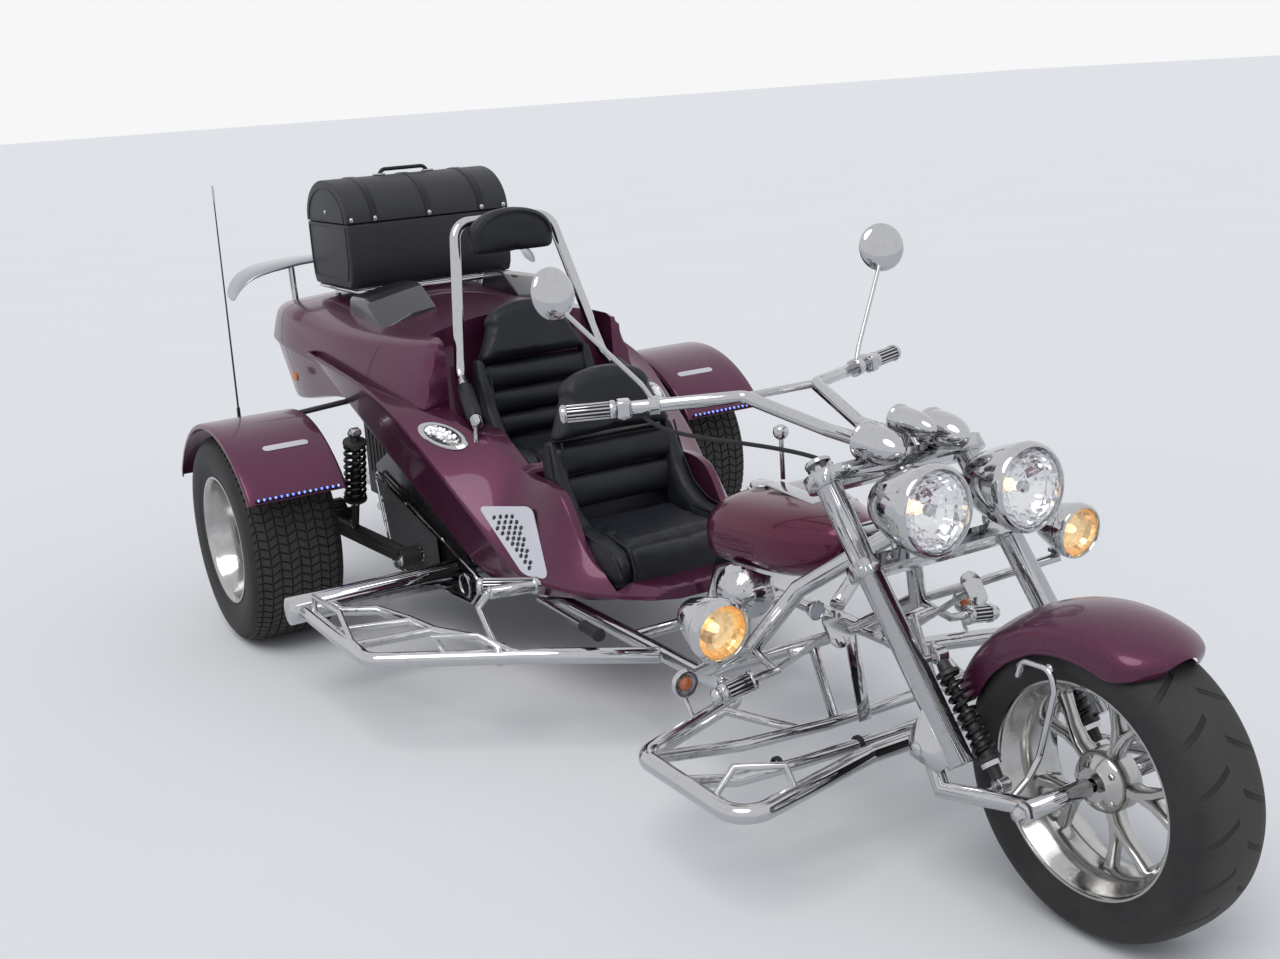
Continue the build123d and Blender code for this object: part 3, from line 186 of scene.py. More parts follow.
def turned(name, start, towards, profile, steps=48):
    """A turned piece: profile gives (place along the axis, radius) in millimetres, from start towards a place."""
    axis = (towards - start).normalized()
    across = axis.orthogonal().normalized()
    outline = loop([start + axis * (along / 1000) + across * (radius / 1000) for along, radius in profile])
    ends = {0, len(profile) - 1}
    pick(outline, "EDGE", lambda edge: set(edge.vertices) == ends)
    bpy.ops.mesh.delete(type="EDGE")
    bpy.ops.mesh.select_mode(type="VERT")
    bpy.ops.mesh.select_all(action="SELECT")
    bpy.ops.mesh.spin(steps=steps, angle=FULL_TURN, center=start, axis=axis)
    close_edit()
    outline.name = name
    return outward(outline)


def lathe(name, start, towards, profile, steps=64, angle=35):
    """A turned piece, shaded smoothly."""
    return smooth(turned(name, start, towards, profile, steps), angle)


def skin(name, rows, around=True, caps=True):
    """A skin over rows of points that lie side by side; around joins each row's end to its start."""
    columns = len(rows[0]) + around
    bpy.ops.mesh.primitive_grid_add(x_subdivisions=columns - 1, y_subdivisions=len(rows) - 1, size=1,
                                    location=(0, 0, 0))
    sheet = bpy.context.object
    sheet.name = name
    flat = [row[column % len(row)] for row in rows for column in range(columns)]
    for vertex, point in zip(sheet.data.vertices, flat):
        vertex.co = point
    if caps:
        outward(sheet)
        bpy.ops.object.mode_set(mode="EDIT")
        bpy.ops.mesh.select_mode(type="EDGE")
        bpy.ops.mesh.select_all(action="DESELECT")
        bpy.ops.mesh.select_non_manifold()
        bpy.ops.mesh.fill_holes(sides=0)
        close_edit()
    return outward(sheet)


def squared_circle(count, power):
    """Corners of a circle as (cosine, sine, divisor): divided by it, they lie nearer to a square."""
    for corner in range(count):
        bearing = FULL_TURN * corner / count
        square = max(abs(math.cos(bearing)), abs(math.sin(bearing))) ** power
        yield math.cos(bearing), math.sin(bearing), square


def bent_route(points, bend):
    """The stops of a curve (place, handle before, handle after) with an arc at each inner corner."""
    stops = [(points[0], None, None)]
    for before, corner, after in zip(points, points[1:], points[2:]):
        if not bend:
            stops.append((corner, None, None))
            continue
        back, on = before - corner, after - corner
        turn_angle = math.pi - back.angle(on)
        half_tangent = math.tan(turn_angle / 2)
        reach = min(bend / 1000 * half_tangent, 0.49 * back.length, 0.49 * on.length)
        handle = 4 / 3 * math.tan(turn_angle / 4) * reach / max(half_tangent, 1e-6)
        enter = corner + back.normalized() * reach
        leave = corner + on.normalized() * reach
        stops.append((enter, None, enter - back.normalized() * handle))
        stops.append((leave, leave - on.normalized() * handle, None))
    return [*stops, (points[-1], None, None)]


def new_curve(kind, count):
    """An empty curve object with one open spline of this many points."""
    bpy.ops.curve.primitive_bezier_curve_add(location=(0, 0, 0))
    route = bpy.context.object
    route.data.splines.clear()
    spline = route.data.splines.new(kind)
    (spline.bezier_points if kind == "BEZIER" else spline.points).add(count - 1)
    return route, spline


def thicken(curve, radius, steps, rings):
    """Makes a curve a round bar of this radius in metres."""
    curve.dimensions = "3D"
    curve.resolution_u = steps
    curve.bevel_depth = radius
    curve.bevel_resolution = rings
    curve.use_fill_caps = True


def bar(name, points, radius, bend=0, ring=12, steps=6):
    """A round bar through points in metres, with arcs of this bend radius in millimetres at its corners."""
    stops = bent_route(points, bend)
    route, spline = new_curve("BEZIER", len(stops))
    for index, (point, (place, before, after)) in enumerate(zip(spline.bezier_points, stops)):
        last_place = stops[max(index - 1, 0)][0]
        next_place = stops[min(index + 1, len(stops) - 1)][0]
        point.co = place
        point.handle_left_type = point.handle_right_type = "FREE"
        point.handle_left = before or place.lerp(last_place, 0.33)
        point.handle_right = after or place.lerp(next_place, 0.33)
    thicken(route.data, radius / 1000, steps, ring // 4)
    take(route)
    bpy.ops.object.convert(target="MESH")
    piece = bpy.context.object
    piece.name = name
    return smooth(outward(piece), 40)


def block(name, middle, size, tilt=None, bevel=2.0, steps=2):
    """A block with rounded edges: size in millimetres, tilt as a rotation matrix."""
    bpy.ops.mesh.primitive_cube_add(size=1, location=(0, 0, 0))
    piece = bpy.context.object
    piece.name = name
    piece.scale = [length / 1000 for length in size]
    settle(piece)
    if bevel:
        rounded(piece, bevel, steps)
    piece.matrix_world = Matrix.Translation(middle) @ (tilt.to_4x4() if tilt else Matrix.Identity(4))
    return smooth(settle(piece))


def extruded(name, outline, way=None, thickness=0.0):
    """A block from an outline, moved along a way in metres or along its own normal by a thickness in millimetres."""
    piece = loop(outline, "NGON")
    piece.name = name
    pick(piece, "FACE")
    way = way or piece.data.polygons[0].normal * thickness / 1000
    bpy.ops.mesh.extrude_region_move(TRANSFORM_OT_translate={"value": way})
    close_edit()
    return outward(piece)


def prism(name, half, outline):
    """A block across the trike from its outline in side view, as places ahead and heights."""
    return extruded(name, [rear(ahead, -half, up) for ahead, up in outline], (0, 2 * half / 1000, 0))


def plate(name, outline, thickness, bevel=0.0):
    """A flat plate: its outline as places in metres, thickened along its own normal in millimetres."""
    piece = extruded(name, outline, thickness=thickness)
    if bevel:
        rounded(piece, bevel, 2, 50)
    return smooth(piece)


def cut(piece, cutter):
    """Cuts a closed piece with another, which is then removed."""
    modify(piece, "BOOLEAN", object=cutter, operation="DIFFERENCE", solver="EXACT")
    bpy.data.objects.remove(cutter)


def away_from_line(table, index):
    """The way out from a line of (ahead, up, ...) rows, square to its course at one of them."""
    near, far = table[max(index - 1, 0)], table[min(index + 1, len(table) - 1)]
    along = Vector((far[0] - near[0], 0, far[1] - near[1])).normalized()
    return Vector((-along.z, 0, along.x))


# Shader maths
def maths(operation):
    """A way for a shader value to add a Math node of this operation."""
    return lambda value, *others: value.math(operation, value, *others)


def wire(operand, socket):
    """Links a shader value to a socket, or sets the socket to a plain value or colour."""
    if isinstance(operand, Value):
        socket.id_data.links.new(operand.socket, socket)
    else:
        is_colour = isinstance(operand, tuple) and socket.type == "RGBA"
        socket.default_value = (*operand, 1.0) if is_colour else operand


class Value:
    """A shader socket: its arithmetic adds Math nodes."""

    __add__ = __radd__ = maths("ADD")
    __sub__ = maths("SUBTRACT")
    __mul__ = __rmul__ = maths("MULTIPLY")
    __truediv__ = maths("DIVIDE")
    __pow__ = maths("POWER")
    __gt__ = maths("GREATER_THAN")
    __lt__ = maths("LESS_THAN")
    size = maths("ABSOLUTE")
    fract = maths("FRACT")
    sine = maths("SINE")
    at_least = maths("MAXIMUM")
    at_most = maths("MINIMUM")
    bearing_from = maths("ARCTAN2")

    def __init__(self, socket):
        self.socket = socket

    def __rsub__(self, other):
        return self.math("SUBTRACT", other, self)

    def math(self, operation, *operands):
        node = self.socket.id_data.nodes.new("ShaderNodeMath")
        node.operation = operation
        for socket, operand in zip(node.inputs, operands):
            wire(operand, socket)
        return Value(node.outputs[0])

    def clamp(self):
        return self.at_least(0.0).at_most(1.0)

    def wave(self, count):
        """0 to 1 and back, this many times over each unit."""
        return ((self * count).fract() - 0.5).size() * 2


class Finish:
    """A material under construction, with one Principled shader."""

    def __init__(self, name, **surface):
        self.material = bpy.data.materials.new(name)
        self.material.use_nodes = True
        self.tree = self.material.node_tree
        self.tree.nodes.clear()
        self.shader = self.tree.nodes.new("ShaderNodeBsdfPrincipled")
        output = self.tree.nodes.new("ShaderNodeOutputMaterial")
        self.tree.links.new(self.shader.outputs[0], output.inputs["Surface"])
        for key, value in surface.items():
            self.set(key.replace("_", " ").title().replace("Ior", "IOR"), value)

    def set(self, socket, value):
        wire(value, self.shader.inputs[socket])

    def node(self, kind, settings=None, output=0, **inputs):
        """Adds any other node: settings first, then its sockets by name, with _ for a space."""
        node = self.tree.nodes.new("ShaderNode" + kind)
        for key, value in (settings or {}).items():
            setattr(node, key, value)
        for key, value in inputs.items():
            wire(value, node.inputs[key.replace("_", " ")])
        return Value(node.outputs[output])

    def place(self, centre=(0, 0, 0)):
        """Object coordinates from a centre."""
        moved = self.node("VectorMath", {"operation": "SUBTRACT"}, Vector=self.node("TexCoord", output="Object"))
        moved.socket.node.inputs[1].default_value = centre
        return moved

    def axes(self, vector):
        """The three parts of a vector."""
        split = self.node("SeparateXYZ", Vector=vector).socket.node
        return [Value(output) for output in split.outputs]

    def noise(self, scale, detail=3.0, rough=0.5):
        return self.node("TexNoise", Vector=self.place(), Scale=scale, Detail=detail, Roughness=rough)

    def cells(self, scale, feature="F1"):
        return self.node("TexVoronoi", {"feature": feature}, output="Distance", Vector=self.place(), Scale=scale)

    def flake(self, scale):
        """A number from 0 to 1 that is the same all over each tiny cell."""
        return self.axes(self.node("TexVoronoi", output="Color", Vector=self.place(), Scale=scale))[0]

    def blend(self, factor, one, other):
        """A colour between two, by a factor."""
        mix = self.node("Mix", {"data_type": "RGBA"}).socket.node
        wire(factor, mix.inputs[0])
        colours = [socket for socket in mix.inputs if socket.type == "RGBA"]
        wire(one, colours[0])
        wire(other, colours[1])
        return Value([output for output in mix.outputs if output.type == "RGBA"][0])

    def ramp(self, factor, low, high):
        """A number that goes straight from 0 to 1 as a factor goes from low to high."""
        ramp = self.node("ValToRGB", Fac=factor)
        for element, place, value in zip(ramp.socket.node.color_ramp.elements, (low, high), (0, 1)):
            element.position = place
            element.color = (value, value, value, 1)
        return ramp

    def patches(self, low, high, scale, detail=3.0, rough=0.5):
        """Noise in soft patches: 0 below the low level, 1 above the high one."""
        return self.ramp(self.noise(scale, detail, rough), low, high)

    def bump(self, height, distance, strength=1.0):
        """Feeds a height to the shader's normal, after the bumps that are there already."""
        node = self.node("Bump", Height=height, Distance=distance, Strength=strength)
        before = self.shader.inputs["Normal"]
        if before.is_linked:
            wire(Value(before.links[0].from_socket), node.socket.node.inputs["Normal"])
        wire(node, before)


# Finishes
def darker(colour, share):
    return tuple(part * share for part in colour)


def plum_paint():
    """Plum metallic under clear lacquer, with fine flake and a little dust in tiny patches."""
    paint = Finish("plum_paint", metallic=0.6, specular_ior_level=0.3, coat_weight=0.5, coat_roughness=0.04)
    flake = paint.flake(2600.0)
    base = paint.blend(paint.patches(0.35, 0.65, 2.2, 2.0), (0.052, 0.006, 0.024), (0.070, 0.010, 0.036))
    base = paint.blend(paint.patches(0.42, 0.62, 620.0, 1.0) * 0.35, base, (0.120, 0.022, 0.068))
    paint.set("Base Color", paint.blend((flake - 0.62).clamp() * 0.9, base, (0.46, 0.12, 0.28)))
    paint.set("Roughness", flake * 0.08 + 0.30)
    paint.bump(flake, 0.00004, 0.25)
    return paint.material


def tank_paint():
    """The tank's paint, a shade redder than the body's."""
    paint = Finish("tank_paint", metallic=0.55, roughness=0.26, specular_ior_level=0.3, coat_weight=0.5,
                   coat_roughness=0.03)
    flake = paint.flake(2600.0)
    paint.set("Base Color", paint.blend((flake - 0.62).clamp() * 0.9, (0.072, 0.002, 0.022), (0.42, 0.07, 0.17)))
    paint.bump(flake, 0.00004, 0.2)
    return paint.material


def chrome():
    """Polished chrome with faint wiping marks and a few dull spots."""
    metal = Finish("chrome", metallic=1.0)
    dust = metal.patches(0.55, 0.72, 70.0, 2.0)
    metal.set("Base Color", metal.blend(dust * 0.35, (0.50, 0.505, 0.52), (0.40, 0.39, 0.38)))
    metal.set("Roughness", metal.noise(9.0, 4.0, 0.6) * 0.07 + dust * 0.10 + 0.03)
    return metal.material


def polished_alloy():
    """A polished cast wheel, with a soft grain and grime in soft patches."""
    metal = Finish("polished_alloy", metallic=1.0)
    grain = metal.noise(260.0, 2.0)
    grime = metal.patches(0.45, 0.75, 14.0, 5.0, 0.65)
    metal.set("Base Color", metal.blend(grime * 0.5, (0.46, 0.455, 0.45), (0.28, 0.26, 0.24)))
    metal.set("Roughness", grain * 0.08 + grime * 0.18 + 0.08)
    metal.bump(grain, 0.0002, 0.25)
    return metal.material


def grey_alloy():
    """A grey lacquered wheel centre, dusty."""
    metal = Finish("grey_alloy", metallic=0.7, coat_weight=0.3, coat_roughness=0.2)
    dust = metal.patches(0.4, 0.75, 22.0, 5.0, 0.7)
    metal.set("Base Color", metal.blend(dust * 0.6, (0.17, 0.17, 0.18), (0.33, 0.30, 0.27)))
    metal.set("Roughness", dust * 0.3 + 0.32)
    metal.bump(metal.noise(300.0, 2.0), 0.0002, 0.2)
    return metal.material


def tyre_rubber(name, hub, shoulder, width, grooves=None):
    """Tyre rubber with dusty tread, rings on the sidewall about the hub, and curved grooves if asked for, painted near
    black as shade.
    """
    rubber = Finish(name, specular_ior_level=0.35)
    x, y, z = rubber.axes(rubber.place(tuple(hub)))
    across = y.size()
    radius = (x * x + z * z) ** 0.5
    tread = ((radius - shoulder) * 40.0).clamp()
    dust = rubber.patches(0.35, 0.8, 16.0, 6.0, 0.7)
    colour = rubber.blend((tread * 0.45 + dust * 0.35).clamp(), (0.017, 0.017, 0.018), (0.075, 0.070, 0.064))
    rubber.set("Roughness", dust * 0.15 + 0.62)
    rubber.bump((radius * 190.0).sine() * (1 - tread), 0.0006, 0.5)
    rubber.bump(rubber.noise(420.0, 3.0), 0.0006, 0.5)
    if grooves:
        turn_share = z.bearing_from(x) / FULL_TURN
        side = (y > 0.0) * 0.5
        lean_round = (across / width) ** 0.75 * 0.62
        phase = ((turn_share * grooves + side + lean_round).fract() - 0.5).size()
        reach = ((across - 0.010) * 400.0).clamp() * ((0.094 - across) * 260.0).clamp()
        groove = ((0.075 - phase) * 40.0).clamp() * reach * tread
        # painted shade: the grooves are coloured near black, darker than the rubber, for the shade inside them
        colour = rubber.blend(groove, colour, (0.004, 0.004, 0.004))
        rubber.bump(1 - groove, 0.006, 1.0)
    rubber.set("Base Color", colour)
    return rubber.material


def black_leather():
    """Smooth automotive hide: fine pebbled grain, soft sheen and slight wear."""
    hide = Finish("black_leather", specular_ior_level=0.30)
    pebble = hide.cells(520.0, "SMOOTH_F1")
    wear = hide.patches(0.4, 0.75, 7.0, 4.0)
    hide.set("Base Color", hide.blend(wear * 0.5, (0.010, 0.011, 0.015), (0.027, 0.0291, 0.0375)))
    hide.set("Roughness", wear * 0.08 + pebble * 0.10 + 0.36)
    hide.bump(hide.noise(36.0, 4.0, 0.6), 0.0012, 0.35)
    hide.bump(pebble, 0.0005, 0.55)
    return hide.material


def trunk_hide():
    """Matt grained hide stretched over a board, scuffed in patches."""
    hide = Finish("trunk_hide", specular_ior_level=0.4)
    scuff = hide.patches(0.58, 0.8, 24.0, 6.0, 0.7)
    hide.set("Base Color", hide.blend(scuff * 0.45, (0.020, 0.021, 0.025), (0.075, 0.073, 0.072)))
    hide.set("Roughness", scuff * 0.2 + 0.5)
    hide.bump(hide.noise(60.0, 3.0), 0.0008, 0.4)
    hide.bump(hide.cells(330.0, "SMOOTH_F1"), 0.0007, 0.7)
    return hide.material


def gloss_black():
    """Gloss black lacquer, dusty."""
    gloss = Finish("gloss_black", specular_ior_level=0.25, coat_weight=0.25, coat_roughness=0.06)
    dust = gloss.patches(0.45, 0.8, 12.0, 6.0, 0.7)
    gloss.set("Base Color", gloss.blend(dust * 0.2, (0.006, 0.006, 0.007), (0.03, 0.028, 0.027)))
    gloss.set("Roughness", dust * 0.25 + 0.18)
    return gloss.material


def satin_black():
    """Satin black paint over steel, chipped here and there."""
    paint = Finish("satin_black", metallic=0.1)
    chips = paint.patches(0.66, 0.72, 85.0, 3.0)
    dust = paint.noise(11.0, 5.0, 0.7)
    dusty = paint.blend(dust * 0.5, (0.016, 0.016, 0.017), (0.045, 0.042, 0.040))
    paint.set("Base Color", paint.blend(chips * 0.5, dusty, (0.20, 0.19, 0.18)))
    paint.set("Roughness", dust * 0.25 + 0.35)
    paint.bump(paint.noise(500.0, 2.0), 0.0002, 0.3)
    return paint.material


def black_rubber():
    rubber = Finish("black_rubber", specular_ior_level=0.3)
    dust = rubber.patches(0.4, 0.8, 40.0, 4.0)
    rubber.set("Base Color", rubber.blend(dust * 0.4, (0.014, 0.014, 0.015), (0.06, 0.058, 0.055)))
    rubber.set("Roughness", dust * 0.15 + 0.6)
    rubber.bump(rubber.noise(600.0, 2.0), 0.0004, 0.5)
    return rubber.material


def lacquer(name, colour, metallic):
    """Lacquered sheet or moulding in a silver or grey tone, with fine flake."""
    paint = Finish(name, metallic=metallic, coat_weight=0.8, coat_roughness=0.08)
    paint.set("Base Color", paint.blend(paint.noise(9.0, 5.0, 0.6), colour, darker(colour, 0.82)))
    paint.set("Roughness", paint.flake(2400.0) * 0.12 + 0.26)
    return paint.material


def clear_lens():
    glass = Finish("clear_lens", transmission_weight=1.0, ior=1.45, base_color=(1.0, 1.0, 1.0))
    glass.set("Roughness", glass.noise(30.0, 4.0) * 0.03 + 0.01)
    return glass.material


def lamp_glow(name, colour, strength):
    """A lit reflector behind a lens, brighter in its middle cells."""
    glow = Finish(name, metallic=1.0, roughness=0.16, emission_strength=strength)
    cell = glow.flake(75.0)
    glow.set("Base Color", glow.blend(cell, colour, tuple(min(1.0, part * 1.3 + 0.05) for part in colour)))
    glow.set("Emission Color", glow.blend(cell, darker(colour, 0.55), colour))
    glow.bump(cell, 0.004, 0.6)
    return glow.material


def reflector():
    """A headlight's facetted mirror."""
    mirror = Finish("reflector", metallic=1.0, base_color=(0.80, 0.81, 0.83))
    facet = mirror.cells(60.0)
    mirror.set("Roughness", facet * 0.1 + 0.05)
    mirror.bump(facet, 0.004, 0.5)
    return mirror.material


def plain(name, colour, roughness, metallic=0.0):
    """A simple moulding or casting: slight mottling and grain."""
    stuff = Finish(name, metallic=metallic)
    mottle = stuff.noise(18.0, 4.0)
    stuff.set("Base Color", stuff.blend(mottle, colour, darker(colour, 0.72)))
    stuff.set("Roughness", mottle * 0.15 + (roughness - 0.07))
    stuff.bump(stuff.noise(200.0, 2.0), 0.0003, 0.3)
    return stuff.material


def wire_mesh():
    """Woven wire in a diamond pattern with raised strands; the gaps between the strands are painted near black as shade
    seen through the openings.
    """
    net = Finish("wire_mesh", metallic=0.4)
    x, y, z = net.axes(net.place())
    along = (x + z + y * 0.3) * 84.0
    across = (x - z + y * 0.3) * 84.0
    strand = ((along.wave(1.0) > 0.84) + (across.wave(1.0) > 0.84)).clamp()
    # painted shade: the gaps between the strands are near black for the shade seen through the openings
    net.set("Base Color", net.blend(strand, (0.002, 0.002, 0.002), (0.19, 0.19, 0.20)))
    net.set("Roughness", strand * -0.4 + 0.8)
    net.bump(strand, 0.002, 0.8)
    return net.material


PLUM, TANK_RED, CHROME, ALLOY, GREY_ALLOY = plum_paint(), tank_paint(), chrome(), polished_alloy(), grey_alloy()
LEATHER, HIDE, GLOSS_BLACK, SATIN_BLACK, RUBBER = (
    black_leather(), trunk_hide(), gloss_black(), satin_black(), black_rubber())
SPOILER_SILVER = lacquer("spoiler_silver", (0.36, 0.37, 0.42), 0.6)
SCOOP_GREY = lacquer("scoop_grey", (0.009, 0.010, 0.015), 0.0)
VENT_WHITE = lacquer("vent_white", (0.62, 0.62, 0.68), 0.45)
# the mesh finish's near-black gaps are painted shade
LENS, REFLECTOR, MESH_PAINTED_SHADE = clear_lens(), reflector(), wire_mesh()
AMBER_GLOW = lamp_glow("amber_glow", (0.86, 0.56, 0.27), 0.22)
WARM_GLOW = lamp_glow("warm_glow", (1.0, 0.80, 0.58), 1.0)
BLUE_LED = lamp_glow("blue_led", (0.16, 0.22, 1.0), 2.2)
ENGINE_METAL = plain("engine_metal", (0.016, 0.016, 0.016), 0.6, 0.2)
DIAL_FACE = plain("dial_face", (0.03, 0.03, 0.035), 0.35)
RED_PLASTIC = plain("red_plastic", (0.45, 0.02, 0.015), 0.25)
ORANGE_PLASTIC = plain("orange_plastic", (0.75, 0.16, 0.02), 0.3)
FRONT_RUBBER = tyre_rubber("front_rubber", FRONT_HUB, 0.292, 0.1, grooves=20)
REAR_RUBBER = {side: tyre_rubber("rear_rubber_" + word, REAR_HUBS[side], 0.322, 0.15) for side, word in SIDES.items()}

CAD_FINISH = {
    "body_paint": PLUM, "tyre": RUBBER, "polished_rim": ALLOY, "grey_rim": GREY_ALLOY, "chrome": CHROME,
    "seat_leather": LEATHER, "trunk_hide": HIDE, "black_gloss": GLOSS_BLACK, "scoop_grey": SCOOP_GREY,
    "spoiler_silver": SPOILER_SILVER, "engine_metal": ENGINE_METAL, "black_steel": SATIN_BLACK,
    "black_rubber": RUBBER, "vent_white": VENT_WHITE,
}
# The slot that a finish fills; those of the lamps and glasses, which aren't here, fill the slot of the chrome
USUAL_SLOT = {finish.name: slot for slot, finish in CAD_FINISH.items()}
USUAL_SLOT.update(tank_paint="body_paint", wire_mesh="black_gloss", dial_face="black_gloss")
replaced_nodes = set()


def dress(piece, finish, body="chassis", node=None, slot=None):
    """Gives a finished piece its material and body; the first piece for a node hides that node."""
    settle(piece)
    piece.data.materials.clear()
    piece.data.materials.append(finish)
    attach(piece, body)
    slot or USUAL_SLOT.get(finish.name, "chrome")
    if node and node not in replaced_nodes:
        replaced_nodes.add(node)
        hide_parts(node)
    return piece


def shown_node(node, finish, body="chassis", angle=32):
    """A CAD node's own form, its facets smoothed, with the finish of the real piece."""
    piece = bpy.data.objects.new(node + "_shown", nodes[node].data.copy())
    bpy.context.scene.collection.objects.link(piece)
    open_all(piece)
    bpy.ops.mesh.remove_doubles(threshold=0.00002)
    close_edit()
    return dress(smooth(piece, angle), finish, body, node)


def finish_nodes():
    """Gives every CAD node the finish of its slot."""
    slots = {part["node"]: part["material_slot"] for part in frame["record"]["subparts"]}
    for name, node in nodes.items():
        node.data.materials.clear()
        node.data.materials.append(CAD_FINISH[slots[name]])


finish_nodes()


# Body
# columns: ahead of the rear axle, base half width and height, ledge half width and height,
# shoulder half width and height, height of the deck's middle
HULL = [
    (-685, 395, 640, 452, 872, 430, 985, 1005), (-500, 445, 640, 490, 870, 478, 1003, 1032),
    (-250, 440, 690, 475, 842, 462, 972, 1035), (0, 430, 720, 460, 814, 440, 950, 1030),
    (250, 410, 690, 438, 795, 385, 950, 1018), (500, 350, 660, 378, 750, 325, 965, 1003),
]
# columns: ahead, floor half width and height, crease half width and height, upper edge half width and height
TUB = [
    (-190, 478, 845, 502, 870, 470, 862), (60, 476, 745, 492, 843, 452, 812), (260, 466, 650, 482, 815, 436, 796),
    (432, 446, 552, 470, 765, 405, 770), (561, 434, 488, 452, 685, 345, 735), (700, 408, 395, 438, 606, 270, 697),
    (800, 380, 305, 418, 535, 250, 650), (900, 358, 285, 396, 455, 243, 600), (1000, 342, 285, 372, 360, 250, 605),
    (1130, 315, 298, 345, 350, 248, 600), (1195, 292, 306, 330, 352, 240, 455), (1290, 262, 314, 305, 350, 236, 385),
    (1440, 120, 325, 160, 345, 110, 362),
]
# Places cut out of the shell: name, half width, outline in side view
CUTS = [
    ("rider_cut", 227, [(905, 800), (925, 885), (965, 900), (1460, 900), (1460, 480), (1365, 480), (1350, 310),
                        (1010, 330), (925, 420)]),
    ("passenger_cut", 217, [(395, 930), (395, 1100), (925, 1100), (925, 635), (865, 635), (850, 480), (560, 480),
                            (470, 560)]),
    ("hoop_cut", 294, [(395, 1100), (395, 900), (455, 700), (760, 700), (900, 1100)]),
    ("engine_cut", 233, [(-700, 200), (-700, 625), (-50, 645), (90, 545), (330, 495), (345, 330), (345, 200)]),
]


def hull_half(base, base_z, ledge, ledge_z, shoulder, shoulder_z, middle_z):
    """The hull's left half section, from the bottom's middle to the top's middle."""
    deck = shoulder - 45
    return [
        (0, base_z), (base * 0.9, base_z), (base, base_z + 14), ((base + ledge) / 2 - 6, (base_z + ledge_z) / 2),
        (ledge - 13, ledge_z - 22), (ledge - 11, ledge_z - 15), (ledge, ledge_z - 9), (ledge, ledge_z + 2),
        ((ledge + shoulder) / 2 + 2, (ledge_z + shoulder_z - 35) / 2), (shoulder, shoulder_z - 38),
        (shoulder - 10, shoulder_z - 14), (deck, shoulder_z + 1),
        (deck * 0.55, shoulder_z + (middle_z - shoulder_z) * 0.72), (0, middle_z),
    ]


def tub_half(floor, floor_z, ridge, ridge_z, edge, edge_z):
    """The tub's left half section."""
    return [
        (0, floor_z), (floor - 30, floor_z), (floor, floor_z + 8), ((floor + ridge) / 2 - 2, (floor_z + ridge_z) / 2),
        (ridge, ridge_z - 7), (ridge - 2, ridge_z + 5), ((ridge + edge) / 2 + 2, (ridge_z + edge_z) / 2 + 1),
        (edge + 6, edge_z - 2), (edge - 16, edge_z), (0, edge_z),
    ]


def lofted(name, rows, half_section, sharp_columns, sharpness):
    """A closed skin over sections across the trike, rounded between its kept edges."""
    sections = []
    for ahead, *sizes in rows:
        half = half_section(*sizes)
        other_half = [(-left, up) for left, up in reversed(half[1:-1])]
        sections.append([rear(ahead, left, up) for left, up in half + other_half])
    piece = skin(name, sections)

    def mark(place):
        return tuple(round(part, 4) for part in place)

    kept = {mark(section[column % len(section)])
            for section in sections for index in sharp_columns for column in (index, -index)}
    ends = (sections[0][0].x, sections[-1][0].x)
    places = [vertex.co.copy() for vertex in piece.data.vertices]

    def is_sharp(edge):
        one, other = (places[index] for index in edge.vertices)
        at_end = any(abs(one.x - end) < 1e-4 and abs(other.x - end) < 1e-4 for end in ends)
        lengthwise = abs(one.x - other.x) > 0.01
        return at_end or (lengthwise and mark(one) in kept and mark(other) in kept)

    pick(piece, "EDGE", is_sharp)
    bpy.ops.transform.edge_crease(value=sharpness)
    close_edit()
    return divided(piece, 3)


def half_space(piece, ahead, way):
    """Cuts off what lies past a place ahead of the rear axle, and closes the cut."""
    open_all(piece)
    bpy.ops.mesh.bisect(plane_co=rear(ahead, 0, 0), plane_no=(way, 0, 0), use_fill=True, clear_outer=True)
    close_edit()


def cut_places(shell, slack):
    """Cuts the places of the seats, the hoop and the engine, each a little wider by the slack in millimetres."""
    for name, half, outline in CUTS:
        cut(shell, prism(name, half + slack, [(ahead - slack, up - slack) for ahead, up in outline]))


def hull_and_tub():
    """The painted shell: hull and flared tub, with the places for the seats, hoop and engine cut out, and the tail."""
    hull = lofted("hull", HULL, hull_half, (2, 4, 5, 6, 7, 9, 11), 0.72)
    tail = twin(hull)
    half_space(hull, -498.4, -1)
    half_space(tail, -502.4, 1)
    cut_places(hull, 0)
    tub = lofted("tub", TUB, tub_half, (2, 4, 5, 7, 8), 0.8)
    cut_places(tub, 0.8)
    for shell in (hull, tub, tail):
        smooth(shell, 28)
    dress(join([hull, tub], "painted_shell"), PLUM, node="body_shell")
    tail.name = "tail_shell"
    dress(tail, PLUM, node="tail_panel")


def plate_place():
    """The blank plate on its raised field, under a small lamp."""
    dress(block("plate_field", rear(-689, 0, 765), (10, 210, 130), bevel=4), SATIN_BLACK, slot="black_gloss")
    dress(block("blank_plate", rear(-692.6, 0, 765), (3, 200, 118), bevel=1.2), VENT_WHITE)
    dress(block("plate_lamp", rear(-689.5, 0, 848), (10, 96, 20), bevel=6, steps=4), GLOSS_BLACK)


hull_and_tub()
plate_place()


# Wheels
REAR_STEPS = 76
# tread rows across the rear tyre: place across, radius, and the part of a block's length that the row is moved round
TREAD_ROWS = [
    (-138, 322, 0.0), (-122, 333, 0.55), (-92, 338.2, 0.15), (-62, 339.4, 0.75), (-31, 340, 0.3), (0, 340, 0.9),
    (31, 340, 0.3), (62, 339.4, 0.75), (92, 338.2, 0.15), (122, 333, 0.55), (138, 322, 0.0),
]
